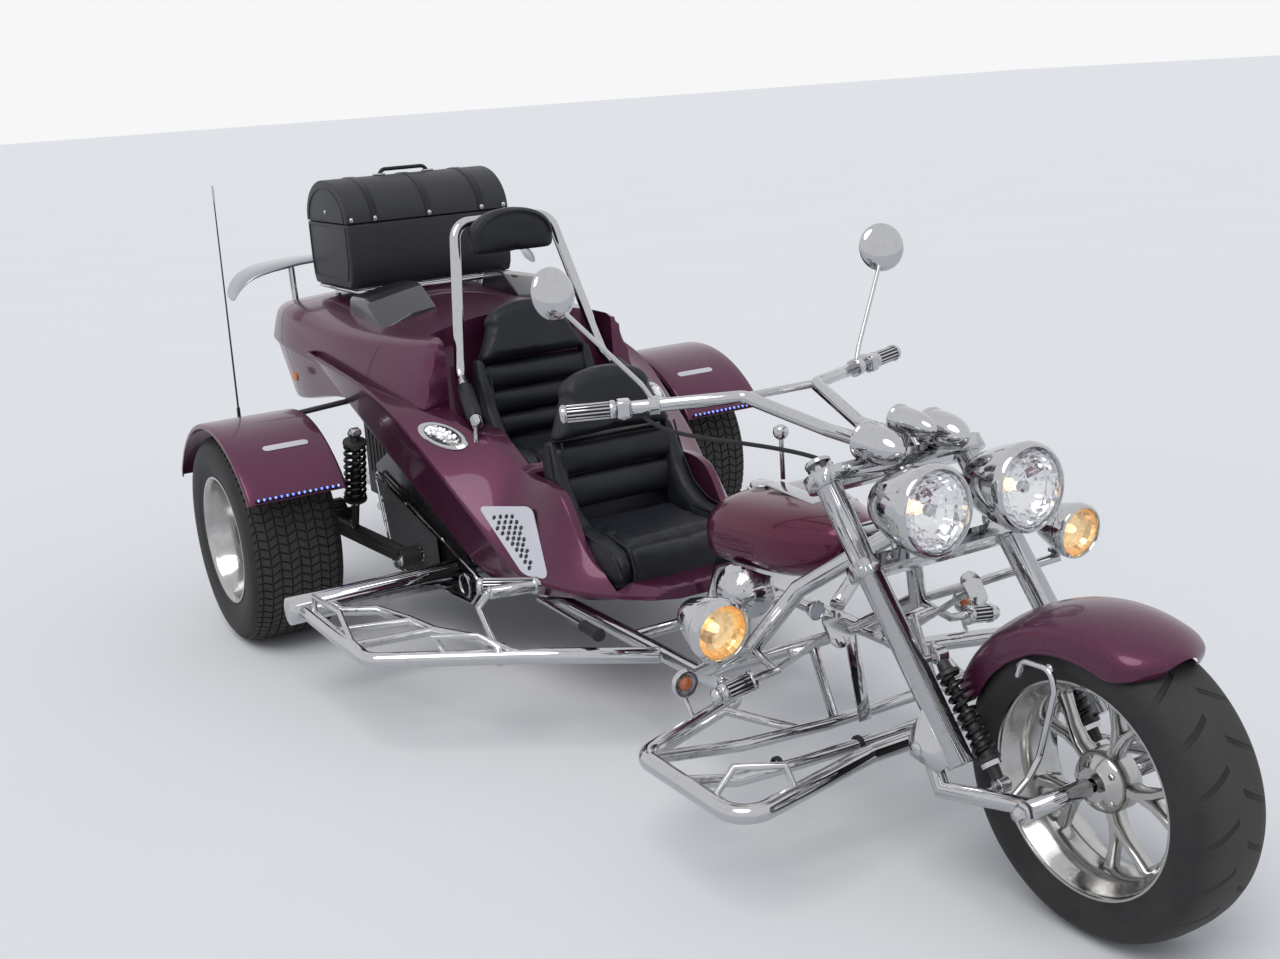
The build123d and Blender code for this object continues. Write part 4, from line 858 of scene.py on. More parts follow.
# the outside of the rear tyre's wall, from the tread to the bead: place across, radius
REAR_WALL = [(-147, 306), (-150, 286), (-151, 262), (-146, 232), (-138, 214), (-134, 196), (-120, 193)]
FRONT_TYRE = [(82, 218), (95, 232), (100, 250), (98.5, 268), (93, 282), (84, 293), (70, 301.5), (50, 307.5),
              (26, 310.7), (0, 311.5)]
# spokes: out from the centre, width, depth, and the swing round in degrees or the place across
FRONT_SPOKE = [(44, 30, 46, 0), (84, 25, 40, 0.5), (118, 22, 32, 6), (150, 22, 28, 11.5), (196, 30, 34, 15.5)]
REAR_SPOKE = [(40, 46, 40, 30), (80, 44, 34, 36), (120, 50, 30, 42), (150, 64, 28, 48), (176, 92, 30, 52)]
HEX_BOLT = [(0, 0), (0, 7.5), (7, 7.5), (9, 5.5), (9, 0)]


def mirrored(half):
    """A profile and its mirror image across the wheel."""
    return [(-across, radius) for across, radius in reversed(half)]


def rear_tyre(side, word):
    """A wide road tyre with ten rows of slanting blocks, square shoulders and ringed walls."""
    hub = REAR_HUBS[side]
    groove = [(across, radius - 7) for across, radius, lag in TREAD_ROWS]
    wall = [*reversed(REAR_WALL)]
    profile = [*wall, *groove, *mirrored(wall), (60, 200), (-60, 200)]
    carcass = lathe("tyre_" + word, hub, hub + LEFT, profile, 96, 40)
    rows = []
    step = FULL_TURN / REAR_STEPS
    for across, radius, lag in TREAD_ROWS:
        rows.append([
            hub + Vector((radius / 1000 * math.cos((index + lag) * step), across / 1000,
                          radius / 1000 * math.sin((index + lag) * step)))
            for index in range(REAR_STEPS)
        ])
    blocks = skin("tread_" + word, rows, caps=False)
    pick(blocks, "FACE")
    bpy.ops.mesh.inset(thickness=0.0027, depth=0, use_individual=True, use_boundary=True)
    bpy.ops.mesh.select_all(action="INVERT")
    bpy.ops.mesh.delete(type="FACE")
    bpy.ops.mesh.select_all(action="SELECT")
    bpy.ops.mesh.extrude_region_shrink_fatten(TRANSFORM_OT_shrink_fatten={"value": -0.0095})
    close_edit()
    faces = blocks.data.polygons
    facing_out = sum(face.normal.dot(face.center - Vector((hub.x, face.center.y, hub.z))) > 0 for face in faces)
    if facing_out < len(faces) / 2:
        outward(blocks, 0.000001)
    tyre = join([carcass, smooth(blocks, 30)], "rear_tyre_%s_treaded" % word)
    dress(tyre, REAR_RUBBER[side], "rear_wheel_" + word, "rear_tyre_" + word, "tyre")


def front_tyre():
    """The wide, worn front tyre: round in section, its curved grooves in its rubber's finish."""
    profile = [*FRONT_TYRE, *mirrored(FRONT_TYRE[:-1]), (-60, 224), (60, 224)]
    tyre = lathe("front_tyre_worn", FRONT_HUB, FRONT_HUB + LEFT, profile, 128, 60)
    dress(tyre, FRONT_RUBBER, "front_wheel", "front_tyre", "tyre")


def five_round(piece, hub):
    """A piece and four copies of it set evenly round a wheel, joined."""
    pieces = [piece]
    for index in range(1, 5):
        pieces.append(turn(twin(piece), FULL_TURN * index / 5, "Y", hub))
    return join(pieces, piece.name)


def on_wheel(hub, across, radius, angle):
    """A place on a wheel: across its width and out from its centre in millimetres, angle in degrees from the front."""
    bearing = math.radians(angle)
    return hub + Vector((radius * math.cos(bearing), across, radius * math.sin(bearing))) / 1000


def spoke(name, hub, stations, power, angle, across_of, swing_of):
    """A spoke of rounded section through its stations."""
    rows = []
    for out, width, depth, last in stations:
        row = []
        for forward, outwards, square in squared_circle(12, power):
            sideways = width / 2 * forward / square
            across = across_of(depth / 2 * outwards / square, last)
            bearing = math.degrees(math.atan2(sideways, out))
            row.append(on_wheel(hub, across, math.hypot(out, sideways), swing_of(last) + bearing))
        rows.append(row)
    return smooth(skin(name, rows), angle)


def front_rim():
    """A polished barrel with five forked spokes, a bolted hub and a valve."""
    hub = FRONT_HUB
    barrel = lathe("front_barrel", hub, hub + LEFT, [
        (-82, 222), (-82, 214), (-76, 208), (-64, 205), (-50, 192), (0, 178), (50, 192), (64, 205), (76, 208),
        (82, 214), (82, 222), (74, 223), (68, 214), (52, 200), (0, 186), (-52, 200), (-68, 214), (-74, 223),
    ], 96, 40)
    arms = [spoke("spoke", hub, FRONT_SPOKE, 0.7, 40, lambda across, swing: across, lambda swing: way * swing)
            for way in SIDES]
    spokes = five_round(join(arms, "spokes"), hub)
    boss = lathe("front_boss", hub, hub + LEFT, [
        (-46, 14), (-46, 34), (-40, 40), (-30, 58), (-20, 64), (20, 64), (30, 58), (40, 40), (46, 34), (46, 14),
        (30, 11), (-30, 11),
    ], 48)
    bolt = turned("boss_bolt", on_wheel(hub, 29, 47, 36), on_wheel(hub, 60, 47, 36), HEX_BOLT, 6)
    bolts = five_round(bolt, hub)
    far_bolts = turn(twin(bolts), math.pi, "X", hub)
    valve = turned("valve", on_wheel(hub, 30, 196, 200), on_wheel(hub, 30, 150, 200),
                   [(0, 0), (0, 3.4), (22, 3), (24, 4), (34, 4), (36, 0)], 12)
    rim = join([barrel, spokes, boss, bolts, far_bolts, valve], "front_rim_polished")
    dress(rim, ALLOY, "front_wheel", "front_rim")


def rear_rim(side, word):
    """A deep-dished wheel: polished barrel, five broad grey spokes, nuts and a capped hub."""
    hub, face = REAR_HUBS[side], LEFT * side
    body = "rear_wheel_" + word
    barrel = lathe("rear_barrel_" + word, hub, hub + face, [
        (-140, 207), (-140, 200), (-134, 194), (-120, 190), (-80, 172), (70, 168), (104, 186), (124, 190), (134, 194),
        (140, 200), (140, 207), (132, 208), (120, 198), (100, 194), (66, 178), (-84, 182), (-122, 198), (-132, 208),
    ], 96, 40)
    dress(barrel, ALLOY, body, "rear_rim_" + word)
    arm = spoke("rear_spoke", hub, REAR_SPOKE, 0.8, 35, lambda across, centre: (centre + across) * side,
                lambda centre: 0)
    spokes = five_round(arm, hub)
    boss = lathe("rear_boss", hub + face * 0.002, hub + face, [
        (0, 10), (0, 76), (34, 78), (44, 70), (47, 46), (60, 40), (66, 34), (70, 30), (71, 0)], 48, 30)
    nut = turned("wheel_nut", on_wheel(hub, 44 * side, 57, 36), on_wheel(hub, 90 * side, 57, 36),
                 [(0, 0), (0, 10), (16, 10), (20, 7), (20, 0)], 6)
    nuts = five_round(nut, hub)
    dress(join([spokes, boss, nuts], "rear_spokes_" + word), GREY_ALLOY, body)


front_tyre()
front_rim()
for side, word in SIDES.items():
    rear_tyre(side, word)
    rear_rim(side, word)


# Seats and pads
def stuffed(piece, cap):
    """Fills a closed form like a cushion: an even mesh, blown up as cloth, with no point moved more than the cap."""
    modify(piece, "REMESH", mode="VOXEL", voxel_size=0.0065)
    before = [vertex.co.copy() for vertex in piece.data.vertices]
    take(piece)
    cloth = piece.modifiers.new("cloth", "CLOTH")
    cloth.settings.use_pressure = True
    cloth.settings.uniform_pressure_force = 4.0
    cloth.settings.quality = 4
    cloth.settings.tension_stiffness = cloth.settings.compression_stiffness = 18
    cloth.settings.bending_stiffness = 3
    cloth.settings.effector_weights.gravity = 0
    for number in range(1, 21):
        bpy.context.scene.frame_set(number)
    bpy.ops.object.modifier_apply(modifier=cloth.name)
    bpy.context.scene.frame_set(1)
    for vertex, start in zip(piece.data.vertices, before):
        moved = vertex.co - start
        if moved.length > cap / 1000:
            vertex.co = start + moved * (cap / 1000 / moved.length)
    modify(piece, "SMOOTH", factor=0.5, iterations=4)
    return smooth(piece, 180)


def lean(degrees):
    """A turn that leans a pad's top back."""
    return Matrix.Rotation(math.radians(-degrees), 3, "Y")


def shield(name, low, high, corner_half, corner_share, low_half, depth):
    """A back pad with a round top, from its front face's lowest and highest places."""
    upward = (high - low).normalized()
    height = (high - low).length * 1000
    outline = [low - LEFT * low_half / 1000, low + LEFT * low_half / 1000]
    corner_up = height * corner_share
    for step in range(15):
        bearing = math.pi * (step / 14)
        rise = corner_up + (height - corner_up) * math.sin(bearing) ** 0.8
        outline.append(low + LEFT * (corner_half * math.cos(bearing)) / 1000 + upward * rise / 1000)
    pad = plate(name, outline, depth)
    if max(vertex.co.x for vertex in pad.data.vertices) > max(low.x, high.x) + 0.004:
        pad.location.x = -depth / 1000 * upward.z
        settle(pad)
    return rounded(pad, 16, 3, 50)


def piping(name, places, body="chassis", slot=None, radius=3.6, bend=26):
    dress(bar(name, places, radius, bend, ring=8, steps=5), LEATHER, body, slot=slot)


# Pads: name, middle ahead, height, size ahead, across, upright, lean back in degrees
# Bolster: ahead, height, half size upright, half size across, from the back to the front
# Core: the outline of the board and foam. Piping: ahead, across, height
SEATS = {
    "rider": {
        "pads": [("lumbar_upper", 969, 642, 74, 398, 84, 4), ("lumbar_lower", 974, 546, 76, 404, 92, 3),
                 ("seat_base", 1160, 420, 296, 338, 84, -1), ("thigh_roll", 1326, 396, 64, 346, 128, 4)],
        "bolster": [(950, 700, 20, 14), (962, 640, 40, 22), (985, 560, 60, 26), (1040, 480, 66, 28),
                    (1130, 440, 56, 28), (1240, 420, 58, 28), (1302, 400, 56, 27), (1330, 393, 49, 25),
                    (1347, 388, 35, 19), (1354, 386, 18, 11)],
        "bolster_left": 194,
        "back": (rear(1008, 0, 692), rear(969, 0, 890), 150, 0.62, 196, 66),
        "core_half": 196,
        "core": [(925, 700), (975, 690), (985, 440), (1316, 440), (1335, 420), (1330, 318), (1012, 338), (935, 425)],
        "piping": {
            "piping": [(996, 176, 700), (1012, 174, 600), (1022, 172, 500), (1080, 170, 478), (1240, 170, 474),
                       (1336, 172, 462), (1364, 174, 400), (1358, 176, 330)],
            "edge": [(978, 214, 700), (1010, 219, 600), (1060, 222, 525), (1130, 223, 488), (1250, 223, 474),
                     (1338, 221, 446), (1364, 217, 392)]},
    },
    "passenger": {
        "pads": [("lumbar_upper", 500, 822, 72, 384, 70, 6), ("lumbar_middle", 508, 744, 74, 388, 70, 5),
                 ("lumbar_lower", 516, 668, 76, 388, 66, 4), ("seat_base", 690, 592, 250, 322, 74, 0),
                 ("thigh_roll", 828, 566, 58, 330, 136, 3)],
        "bolster": [(492, 880, 20, 14), (502, 820, 36, 20), (520, 730, 56, 24), (580, 640, 60, 26), (660, 600, 46, 26),
                    (760, 590, 50, 26), (806, 576, 52, 25), (832, 570, 44, 22), (845, 567, 30, 17), (850, 566, 15, 9)],
        "bolster_left": 186,
        "back": (rear(535, 0, 858), rear(480, 0, 1036), 142, 0.6, 186, 62),
        "core_half": 186,
        "core": [(440, 862), (498, 862), (520, 610), (822, 610), (840, 590), (832, 490), (562, 490), (482, 565)],
        "piping": {
            "piping": [(530, 168, 860), (552, 166, 760), (566, 164, 655), (620, 163, 634), (760, 163, 632),
                       (836, 164, 620), (860, 166, 570), (852, 168, 500)]},
    },
}


def bolster(name, middle_left, table):
    """A stuffed edge that runs down the back and forward along the cushion."""
    rows = []
    for index, (ahead, up, tall, wide) in enumerate(table):
        out = away_from_line(table, index)
        rows.append([
            rear(ahead, middle_left, up) + (LEFT * wide * sideways + out * tall * outwards) / square / 1000
            for sideways, outwards, square in squared_circle(14, 0.6)
        ])
    return skin(name, rows)


def seat(owner, shape):
    """A bucket seat: round-topped back pad, lumbar channels, cushion, thigh roll and side bolsters, all piped."""
    back = shield(owner + "_back", *shape["back"])
    shells = []
    for name, ahead, up, deep, wide, tall, leaning in shape["pads"]:
        pad = block(owner + "_" + name, rear(ahead, 0, up), (deep, wide, tall), lean(leaning), bevel=17, steps=3)
        shells.append(stuffed(pad, 9))
    shells.append(stuffed(back, 9))
    for side in SIDES:
        shells.append(stuffed(bolster(owner + "_bolster", side * shape["bolster_left"], shape["bolster"]), 6))
    made = smooth(join(shells, owner + "_seat_pads"), 180)
    dress(made, LEATHER, node=owner + "_seat")
    core = prism(owner + "_seat_core", shape["core_half"], shape["core"])
    dress(smooth(rounded(core, 14, 3), 40), LEATHER)
    for side, word in SIDES.items():
        for line, places in shape["piping"].items():
            piping("%s_%s_%s" % (owner, line, word), on_side(side, rear, *places))


def headrest():
    """The round-topped pad on the hoop, piped round its face, and the sleeves on the hoop's arms."""
    made = stuffed(shield("headrest_pad", rear(450, 0, 1192), rear(448, 0, 1326), 141, 0.36, 136, 56), 7)
    arms = []
    for side in SIDES:
        low, high = on_side(side, rear, (707, 300, 728), (504, 252, 842))
        arms.append(lathe("arm_pad", low + (high - low).normalized() * 0.030, high, [
            (0, 17.3), (0, 21), (5, 24), (50, 24.8), (100, 24.8), (145, 24), (150, 21), (150, 17.3)], 32, 50))
    made = join([made, *arms], "hoop_pads_stuffed")
    dress(made, LEATHER, node="hoop_pads")
    rim = []
    for step in range(13):
        bearing = math.pi * step / 12
        rim.append(rear(453.5, 128 * math.cos(bearing), 1236 + 82 * math.sin(bearing)))
    piping("headrest_piping", rim, radius=3.0, bend=20)


for owner, shape in SEATS.items():
    seat(owner, shape)
headrest()


# Trunk, rack, spoiler and scoops
TRUNK_REAR, TRUNK_FRONT, TRUNK_HALF, TRUNK_LOW, TRUNK_SEAM, TRUNK_HIGH = -600, -200, 306, 1052, 1274, 1421
TRUNK_MIDDLE = (TRUNK_REAR + TRUNK_FRONT) / 2
TRUNK_REACH = (TRUNK_FRONT - TRUNK_REAR) / 2
RACK_HEIGHT = 1044.7


def lid_arch(inset, steps):
    """The lid's arch in side view, from the rear to the front."""
    for step in range(steps + 1):
        bearing = math.pi * (1 - step / steps)
        yield (TRUNK_MIDDLE + (TRUNK_REACH - inset) * math.cos(bearing),
               TRUNK_SEAM + 4 + (TRUNK_HIGH - inset - TRUNK_SEAM - 4) * math.sin(bearing))


def trunk_section(inset, low, lid, seam):
    """The trunk's section in side view: the box is drawn in at the bottom, the lid is arched at the top."""
    reach = TRUNK_REACH - inset
    if lid:
        return [(TRUNK_MIDDLE - reach, seam), *lid_arch(inset, 24), (TRUNK_MIDDLE + reach, seam)]
    side = [(reach - 22, low), (reach - 6, low + 30), (reach, low + 90), (reach, seam)]
    return [(TRUNK_MIDDLE - out, up) for out, up in side] + [(TRUNK_MIDDLE + out, up) for out, up in reversed(side)]


def trunk_shell(name, lid, seam, opening):
    """The box or the lid, hollow, with its edge at the seam and its hollow cut from past the opening."""
    outer = prism(name, TRUNK_HALF - 3, trunk_section(3, TRUNK_LOW + 1, lid, seam))
    rounded(outer, 9, 4, 35)
    cut(outer, prism("hollow", TRUNK_HALF - 13, trunk_section(12, TRUNK_LOW + 12, lid, opening)))
    return smooth(outer, 30)


def strap_over(name, left, wide, thick, points):
    """A flat strap laid over the trunk along a line in side view."""
    rows = []
    for index, (ahead, up) in enumerate(points):
        out = away_from_line(points, index)
        middle = rear(ahead, left, up)
        rows.append([
            middle + (LEFT * -wide / 2) / 1000, middle + (LEFT * (-wide / 2 + 1.5) + out * thick) / 1000,
            middle + (LEFT * (wide / 2 - 1.5) + out * thick) / 1000, middle + (LEFT * wide / 2) / 1000,
        ])
    return smooth(skin(name, rows), 40)


def stud(name, place, way, radius):
    """A domed stud on a round washer."""
    return lathe(name, place, place + way, [
        (0, 0), (0, radius + 2.5), (1.2, radius + 2.2), (1.4, radius), (3.4, radius * 0.8), (4.6, radius * 0.45),
        (5, 0)], 20, 30)


def trunk():
    """A leather-covered trunk: piped end panels, and an arched lid with three straps, studs and a handle."""
    dress(trunk_shell("trunk_box_covered", False, TRUNK_SEAM - 1, TRUNK_SEAM + 20), HIDE, node="trunk_box")
    dress(trunk_shell("trunk_lid_covered", True, TRUNK_SEAM + 1, TRUNK_SEAM - 20), HIDE, "trunk_lid", "trunk_lid")
    arch = list(lid_arch(3, 28))
    lid_line = [(arch[0][0], TRUNK_SEAM + 2), *arch, (arch[-1][0], TRUNK_SEAM + 2)]
    for left in (-200, 0, 200):
        strap = strap_over("lid_strap_%d" % (left + 300), left, 26, 3.0, lid_line)
        dress(strap, LEATHER, "trunk_lid", slot="trunk_hide")
    studs = [stud("lid_stud", rear(place, left, TRUNK_SEAM + 14), way, 5.5) for left in (-285, -200, 0, 200, 285)
             for place, way in ((TRUNK_FRONT - 1, AHEAD), (TRUNK_REAR + 1, -AHEAD))]
    panel = []
    for step in range(21):
        angle = math.pi * step / 20
        panel.append((TRUNK_MIDDLE + (TRUNK_REACH - 29) * math.cos(angle), TRUNK_SEAM + 6 + 112 * math.sin(angle)))
    for side in SIDES:
        end = side * (TRUNK_HALF - 2.5)
        for name, points, bend, body in (
            ("lid_end_piping", [*panel, panel[0]], 4, "trunk_lid"),
            ("box_end_piping", [(-222, 1262), (-578, 1262), (-578, 1140), (-560, 1082), (-240, 1082), (-222, 1140),
                                (-222, 1262)], 14, "chassis"),
        ):
            piping(name, [rear(ahead, end, up) for ahead, up in points], body, "trunk_hide", 2.6, bend)
        studs.append(stud("lid_end_stud", rear(-400, end, 1310), LEFT * side, 5))
    dress(join(studs, "lid_studs"), CHROME, "trunk_lid")
    grip = [rear(-400, left, up) for left, up in ((-92, 1418), (-78, 1437), (78, 1437), (92, 1418))]
    dress(bar("lid_handle", grip, 7, 22, 12), LEATHER, "trunk_lid", slot="trunk_hide")
    for left in (-92, 92):
        foot = block("handle_foot_%d" % (left + 100), rear(-400, left, 1421), (24, 40, 7))
        dress(foot, CHROME, "trunk_lid")


def rack():
    """A round-bar rack under the trunk, with cross bars."""
    rim = [rear(ahead, left, RACK_HEIGHT)
           for ahead, left in ((-560, -240), (-560, -290), (-170, -290), (-170, 290), (-560, 290), (-560, -240))]
    parts = [bar("rack_rim", rim, 7, 44)]
    for ahead in (-480, -400, -320, -245):
        parts.append(bar("rack_cross", [rear(ahead, -289, RACK_HEIGHT), rear(ahead, 289, RACK_HEIGHT)], 4.5))
    dress(join(parts, "rack_bars"), CHROME)


def spoiler():
    """A lacquered wing with drooped tips, on two bright posts."""
    rows = []
    for left, ahead, chord, up, thick in (
        (-600, -655, 90, 1018, 11), (-592, -648, 118, 1048, 17), (-568, -644, 138, 1082, 24),
        (-530, -642, 148, 1106, 30), (-470, -642, 150, 1122, 32), (-380, -646, 146, 1130, 31),
        (-326, -664, 110, 1133, 27), (0, -665, 109, 1135, 25),
    ):
        row = []
        for forward, outwards, square in squared_circle(16, 0):
            rise = thick / 2 * outwards * (0.62 + 0.38 * forward)
            row.append((left, ahead + chord / 2 * forward, up - chord * forward * 0.07 + rise))
        rows.append(row)
    rows += [[(-left, ahead, up) for left, ahead, up in row] for row in reversed(rows[:-1])]
    wing = skin("rear_wing", [[rear(ahead, left, up) for left, ahead, up in row] for row in rows])
    smooth(divided(wing, 1), 60)
    posts = [bar("wing_post", on_side(side, rear, (-628, 370, 962), (-640, 370, 1122)), 12) for side in SIDES]
    dress(join(posts, "wing_posts"), CHROME)
    dress(wing, SPOILER_SILVER, node="rear_spoiler")


def scoops():
    """Faceted air scoops either side of the deck, each with a mesh plate in its mouth whose near-black gaps are painted
    shade.
    """
    for side, word in SIDES.items():
        rows = []
        for left, points in (
            (150, [(-150, 1020), (-146, 1030), (-112, 1076), (-20, 1079), (30, 1071), (128, 1012), (130, 1004)]),
            (154, [(-153, 1000), (-148, 1032), (-115, 1078), (-20, 1082), (32, 1073), (134, 1010), (136, 990)]),
            (240, [(-164, 980), (-158, 1028), (-132, 1062), (-30, 1066), (24, 1055), (138, 1000), (140, 970)]),
            (330, [(-170, 945), (-166, 990), (-150, 1042), (-40, 1044), (10, 1033), (130, 960), (132, 940)]),
            (340, [(-166, 942), (-162, 985), (-146, 1034), (-40, 1036), (8, 1026), (124, 958), (126, 938)]),
        ):
            rows.append([rear(ahead, side * left, up) for ahead, up in [*points, (130, 925), (-160, 925)]])
        scoop = rounded(skin("scoop_" + word, rows), 3, 2, 14)
        dress(smooth(scoop, 12), SCOOP_GREY, node="air_scoops")
        mouth = on_side(side, rear, (33.5, 178, 1066.5), (126, 178, 1010), (118, 316, 972), (18, 316, 1028))
        # the mesh plate's near-black gaps are painted shade in the scoop's mouth
        dress(plate("scoop_mouth_" + word, mouth, 1.6), MESH_PAINTED_SHADE)


trunk()
rack()
spoiler()
scoops()


# Fork, lamps and instruments
def lens_dome(name, back, face, at, radius, crown, thick=2.4):
    """A domed lens: its edge at a place along the lamp, its middle further out by its crown."""
    outer, inner = [], []
    for step in range(9):
        share = step / 8
        outer.append((at + crown * (1 - share * share), radius * share))
        inner.append((at + crown * (1 - share * share) - thick, radius * share))
    return lathe(name, back, face, [*outer, *reversed(inner)], 64, 40)


def lamp(name, back, face, body, node, shell, bowl, glow, bulb, shell_steps, bowl_steps, bulb_steps):
    """A lamp's chrome shell, its faceted bowl and its bulb, turned about the line from its back to its face."""
    dress(lathe(name % "shell", back, face, shell, shell_steps), CHROME, body, node)
    dress(turned(name % "bowl", back, face, bowl, bowl_steps), glow, body)
    dress(lathe(name % "bulb", back, face, bulb, bulb_steps), WARM_GLOW, body)


def headlights():
    """Two bullet headlights: chrome shell and bezel, faceted reflector, bulb and hood, domed clear lens."""
    for side, word in SIDES.items():
        name = "headlight_%s_" + word
        back, face = on_side(side, front, (-513, 129, 794), (-341, 129, 808))
        lamp(name, back, face, "fork", "headlights", [
            (0, 0), (0, 22), (3, 28), (10, 40), (24, 55), (50, 68), (82, 79), (112, 87), (140, 92.5), (156, 94),
            (158, 97), (163, 98), (176, 96.5), (183, 91), (184, 87), (176, 85), (160, 86), (158, 88), (140, 88),
            (100, 80), (50, 62), (20, 44), (6, 0)
        ], [
            (172, 85), (160, 82), (146, 74), (132, 62), (120, 46), (113, 30), (110, 16), (108, 16), (111, 32),
            (118, 48), (130, 64), (144, 76), (158, 84), (171, 86.5)
        ], REFLECTOR, [(108, 0), (108, 15), (114, 15), (116, 9), (138, 9), (146, 6), (149, 0)], 64, 30, 24)
        hood = [(146, 0), (146, 12), (160, 13.5), (164, 9), (165, 0)]
        dress(lathe(name % "hood", back, face, hood, 24), CHROME, "fork")
        dress(lens_dome(name % "lens", back, face, 174, 85, 16), LENS, "fork")
        screw_at = back + (face - back).normalized() * 0.170 - UP * 0.0965
        dress(stud("bezel_screw_" + word, screw_at, -UP, 3), CHROME, "fork")
        arm = [fork(28, side * 129, -297), *on_side(side, front, (-470, 129, 712), (-462, 129, 745))]
        dress(bar(name % "arm", arm, 10, 22), CHROME, "fork")


def fog_lamps():
    """Two lit fog lamps on the crash bar: chrome shell, stepped bezel, warm ribbed reflector, clear lens."""
    for side, word in SIDES.items():
        name = "fog_%s_" + word
        back, face = on_side(side, front, (-690, 512, 590), (-557, 512, 581))
        lamp(name, back, face, "chassis", "fog_lamps", [
            (0, 0), (0, 18), (4, 26), (14, 37), (40, 48), (70, 57), (88, 61), (100, 62), (102, 66), (108, 68),
            (126, 68), (133, 65), (136, 60), (130, 57), (104, 56), (90, 55), (50, 44), (16, 28), (6, 0)
        ], [
            (128, 57), (116, 54), (104, 47), (96, 36), (92, 22), (90, 8), (88, 0), (86, 0), (88, 10), (90, 24),
            (94, 38), (102, 50), (114, 57), (127, 58.5)
        ], AMBER_GLOW, [(90, 0), (90, 10), (98, 11), (108, 9), (114, 5), (115, 0)], 56, 26, 20)
        dress(lens_dome(name % "lens", back, face, 130, 57.5, 9), LENS)
        foot, nut_foot, top, nut_top = on_side(side, front, *((-640, 512, up) for up in (506, 515, 548, 560)))
        nut = [(0, 0), (0, 16), (9, 16), (11, 13), (11, 0)]
        parts = [bar("fog_post", [foot, top], 9), lathe("fog_nut", nut_foot, nut_top, nut, 6)]
        dress(join(parts, name % "post"), CHROME)


def gauges():
    """Three bright bullet pods; the dials face the rider, each with ticks, a pointer and a glass."""
    for index, (left, raised, radius) in enumerate(((-90, 0, 42), (0, 34, 30), (90, 0, 42))):
        name = "gauge_%s_" + str(index)
        dial, nose = front(-606, left, 904 + raised), front(-484, left, 896 + raised)
        inner = radius - 4
        pod = [(9, 0), (9, inner), (3, inner), (0, radius - 3), (-1, radius), (2, radius + 2.5), (8, radius + 3),
               (11, radius + 0.5), (40, radius + 1), (60, radius - 0.5), (80, radius * 0.9), (98, radius * 0.72),
               (112, radius * 0.48), (122, radius * 0.22), (125, 0)]
        dress(lathe(name % "pod", dial, nose, pod), CHROME, "fork", "gauge_pods")
        dress(lathe(name % "face", dial, nose, [(6, 0), (6, inner), (9, inner), (9, 0)], 48), DIAL_FACE, "fork")
        axis = (nose - dial).normalized()
        upward = (UP - axis * UP.dot(axis)).normalized()

        def hand(part, degrees, depth, out_by, size, bevel=0.0):
            """A flat bar on the dial that points out from its middle."""
            bearing = math.radians(degrees)
            out = upward * math.cos(bearing) + LEFT * math.sin(bearing)
            tilt = Matrix((axis, axis.cross(out), out)).transposed()
            return block(part, dial + axis * depth + out * out_by / 1000, size, tilt, bevel)

        marks = []
        for tick in range(13):
            length = 6 if tick % 3 == 0 else 3.5
            marks.append(hand("tick", -130 + tick * 260 / 12, 0.0058, radius - 7 - length / 2, (0.8, 1.2, length)))
        dress(join(marks, name % "ticks"), VENT_WHITE, "fork")
        pointer = hand(name % "hand", -104, 0.0045, radius * 0.3, (0.8, 1.8, radius * 0.72), 0.3)
        dress(pointer, RED_PLASTIC, "fork", slot="black_gloss")
        glass = [(1, 0), (1.4, radius - 4.2), (3, radius - 4.2), (2.4, 0)]
        dress(lathe(name % "glass", dial, nose, glass, 48), LENS, "fork")
        stalk = [fork(20, left, -84), front(-575, left, 876 + raised), front(-560, left, 890 + raised)]
        dress(bar(name % "stalk", stalk, 8, 20), CHROME, "fork")


# The handlebar's last bend and its end
BAR_END = [(-1034, 105, 941), (-1213, 504, 937)]


def mirrors():
    """Two round mirrors: domed chrome backs, silvered glass to the rear, slim stems with knuckles."""
    for side, word in SIDES.items():
        glass_at, back_at, high = on_side(side, front, (-1240, 491, 1217), (-1215, 485, 1222), (-1231, 484, 1190))
        head = [(3, 0), (3, 57), (0, 58), (-0.5, 61), (2, 63), (7, 63), (12, 60), (18, 51), (22, 38), (24.5, 22),
                (25.5, 0)]
        dress(lathe("mirror_head_" + word, glass_at, back_at, head), CHROME, "fork", "mirrors")
        glass = [(0.6, 0), (1.6, 57.4), (3.4, 57.4), (3.4, 0)]
        dress(lathe("mirror_glass_" + word, glass_at, back_at, glass), REFLECTOR, "fork")
        inner, outer = on_side(side, front, *BAR_END)
        clamp = (inner + outer) / 2
        along = (outer - inner).normalized()
        low = clamp + UP * 0.012
        stem = bar("mirror_stem", [low, low.lerp(high, 0.12) + UP * 0.012, high], 6, 30)
        knuckle = lathe("knuckle", high - (high - low).normalized() * 0.012, high,
                        [(0, 0), (0, 8), (4, 10), (16, 10), (20, 8), (22, 0)], 24)
        collar = lathe("collar", clamp - along * 0.013, clamp + along,
                       [(0, 15), (0, 21), (2, 23), (24, 23), (26, 21), (26, 15)], 32)
        dress(join([stem, knuckle, collar], "mirror_stem_" + word), CHROME, "fork")


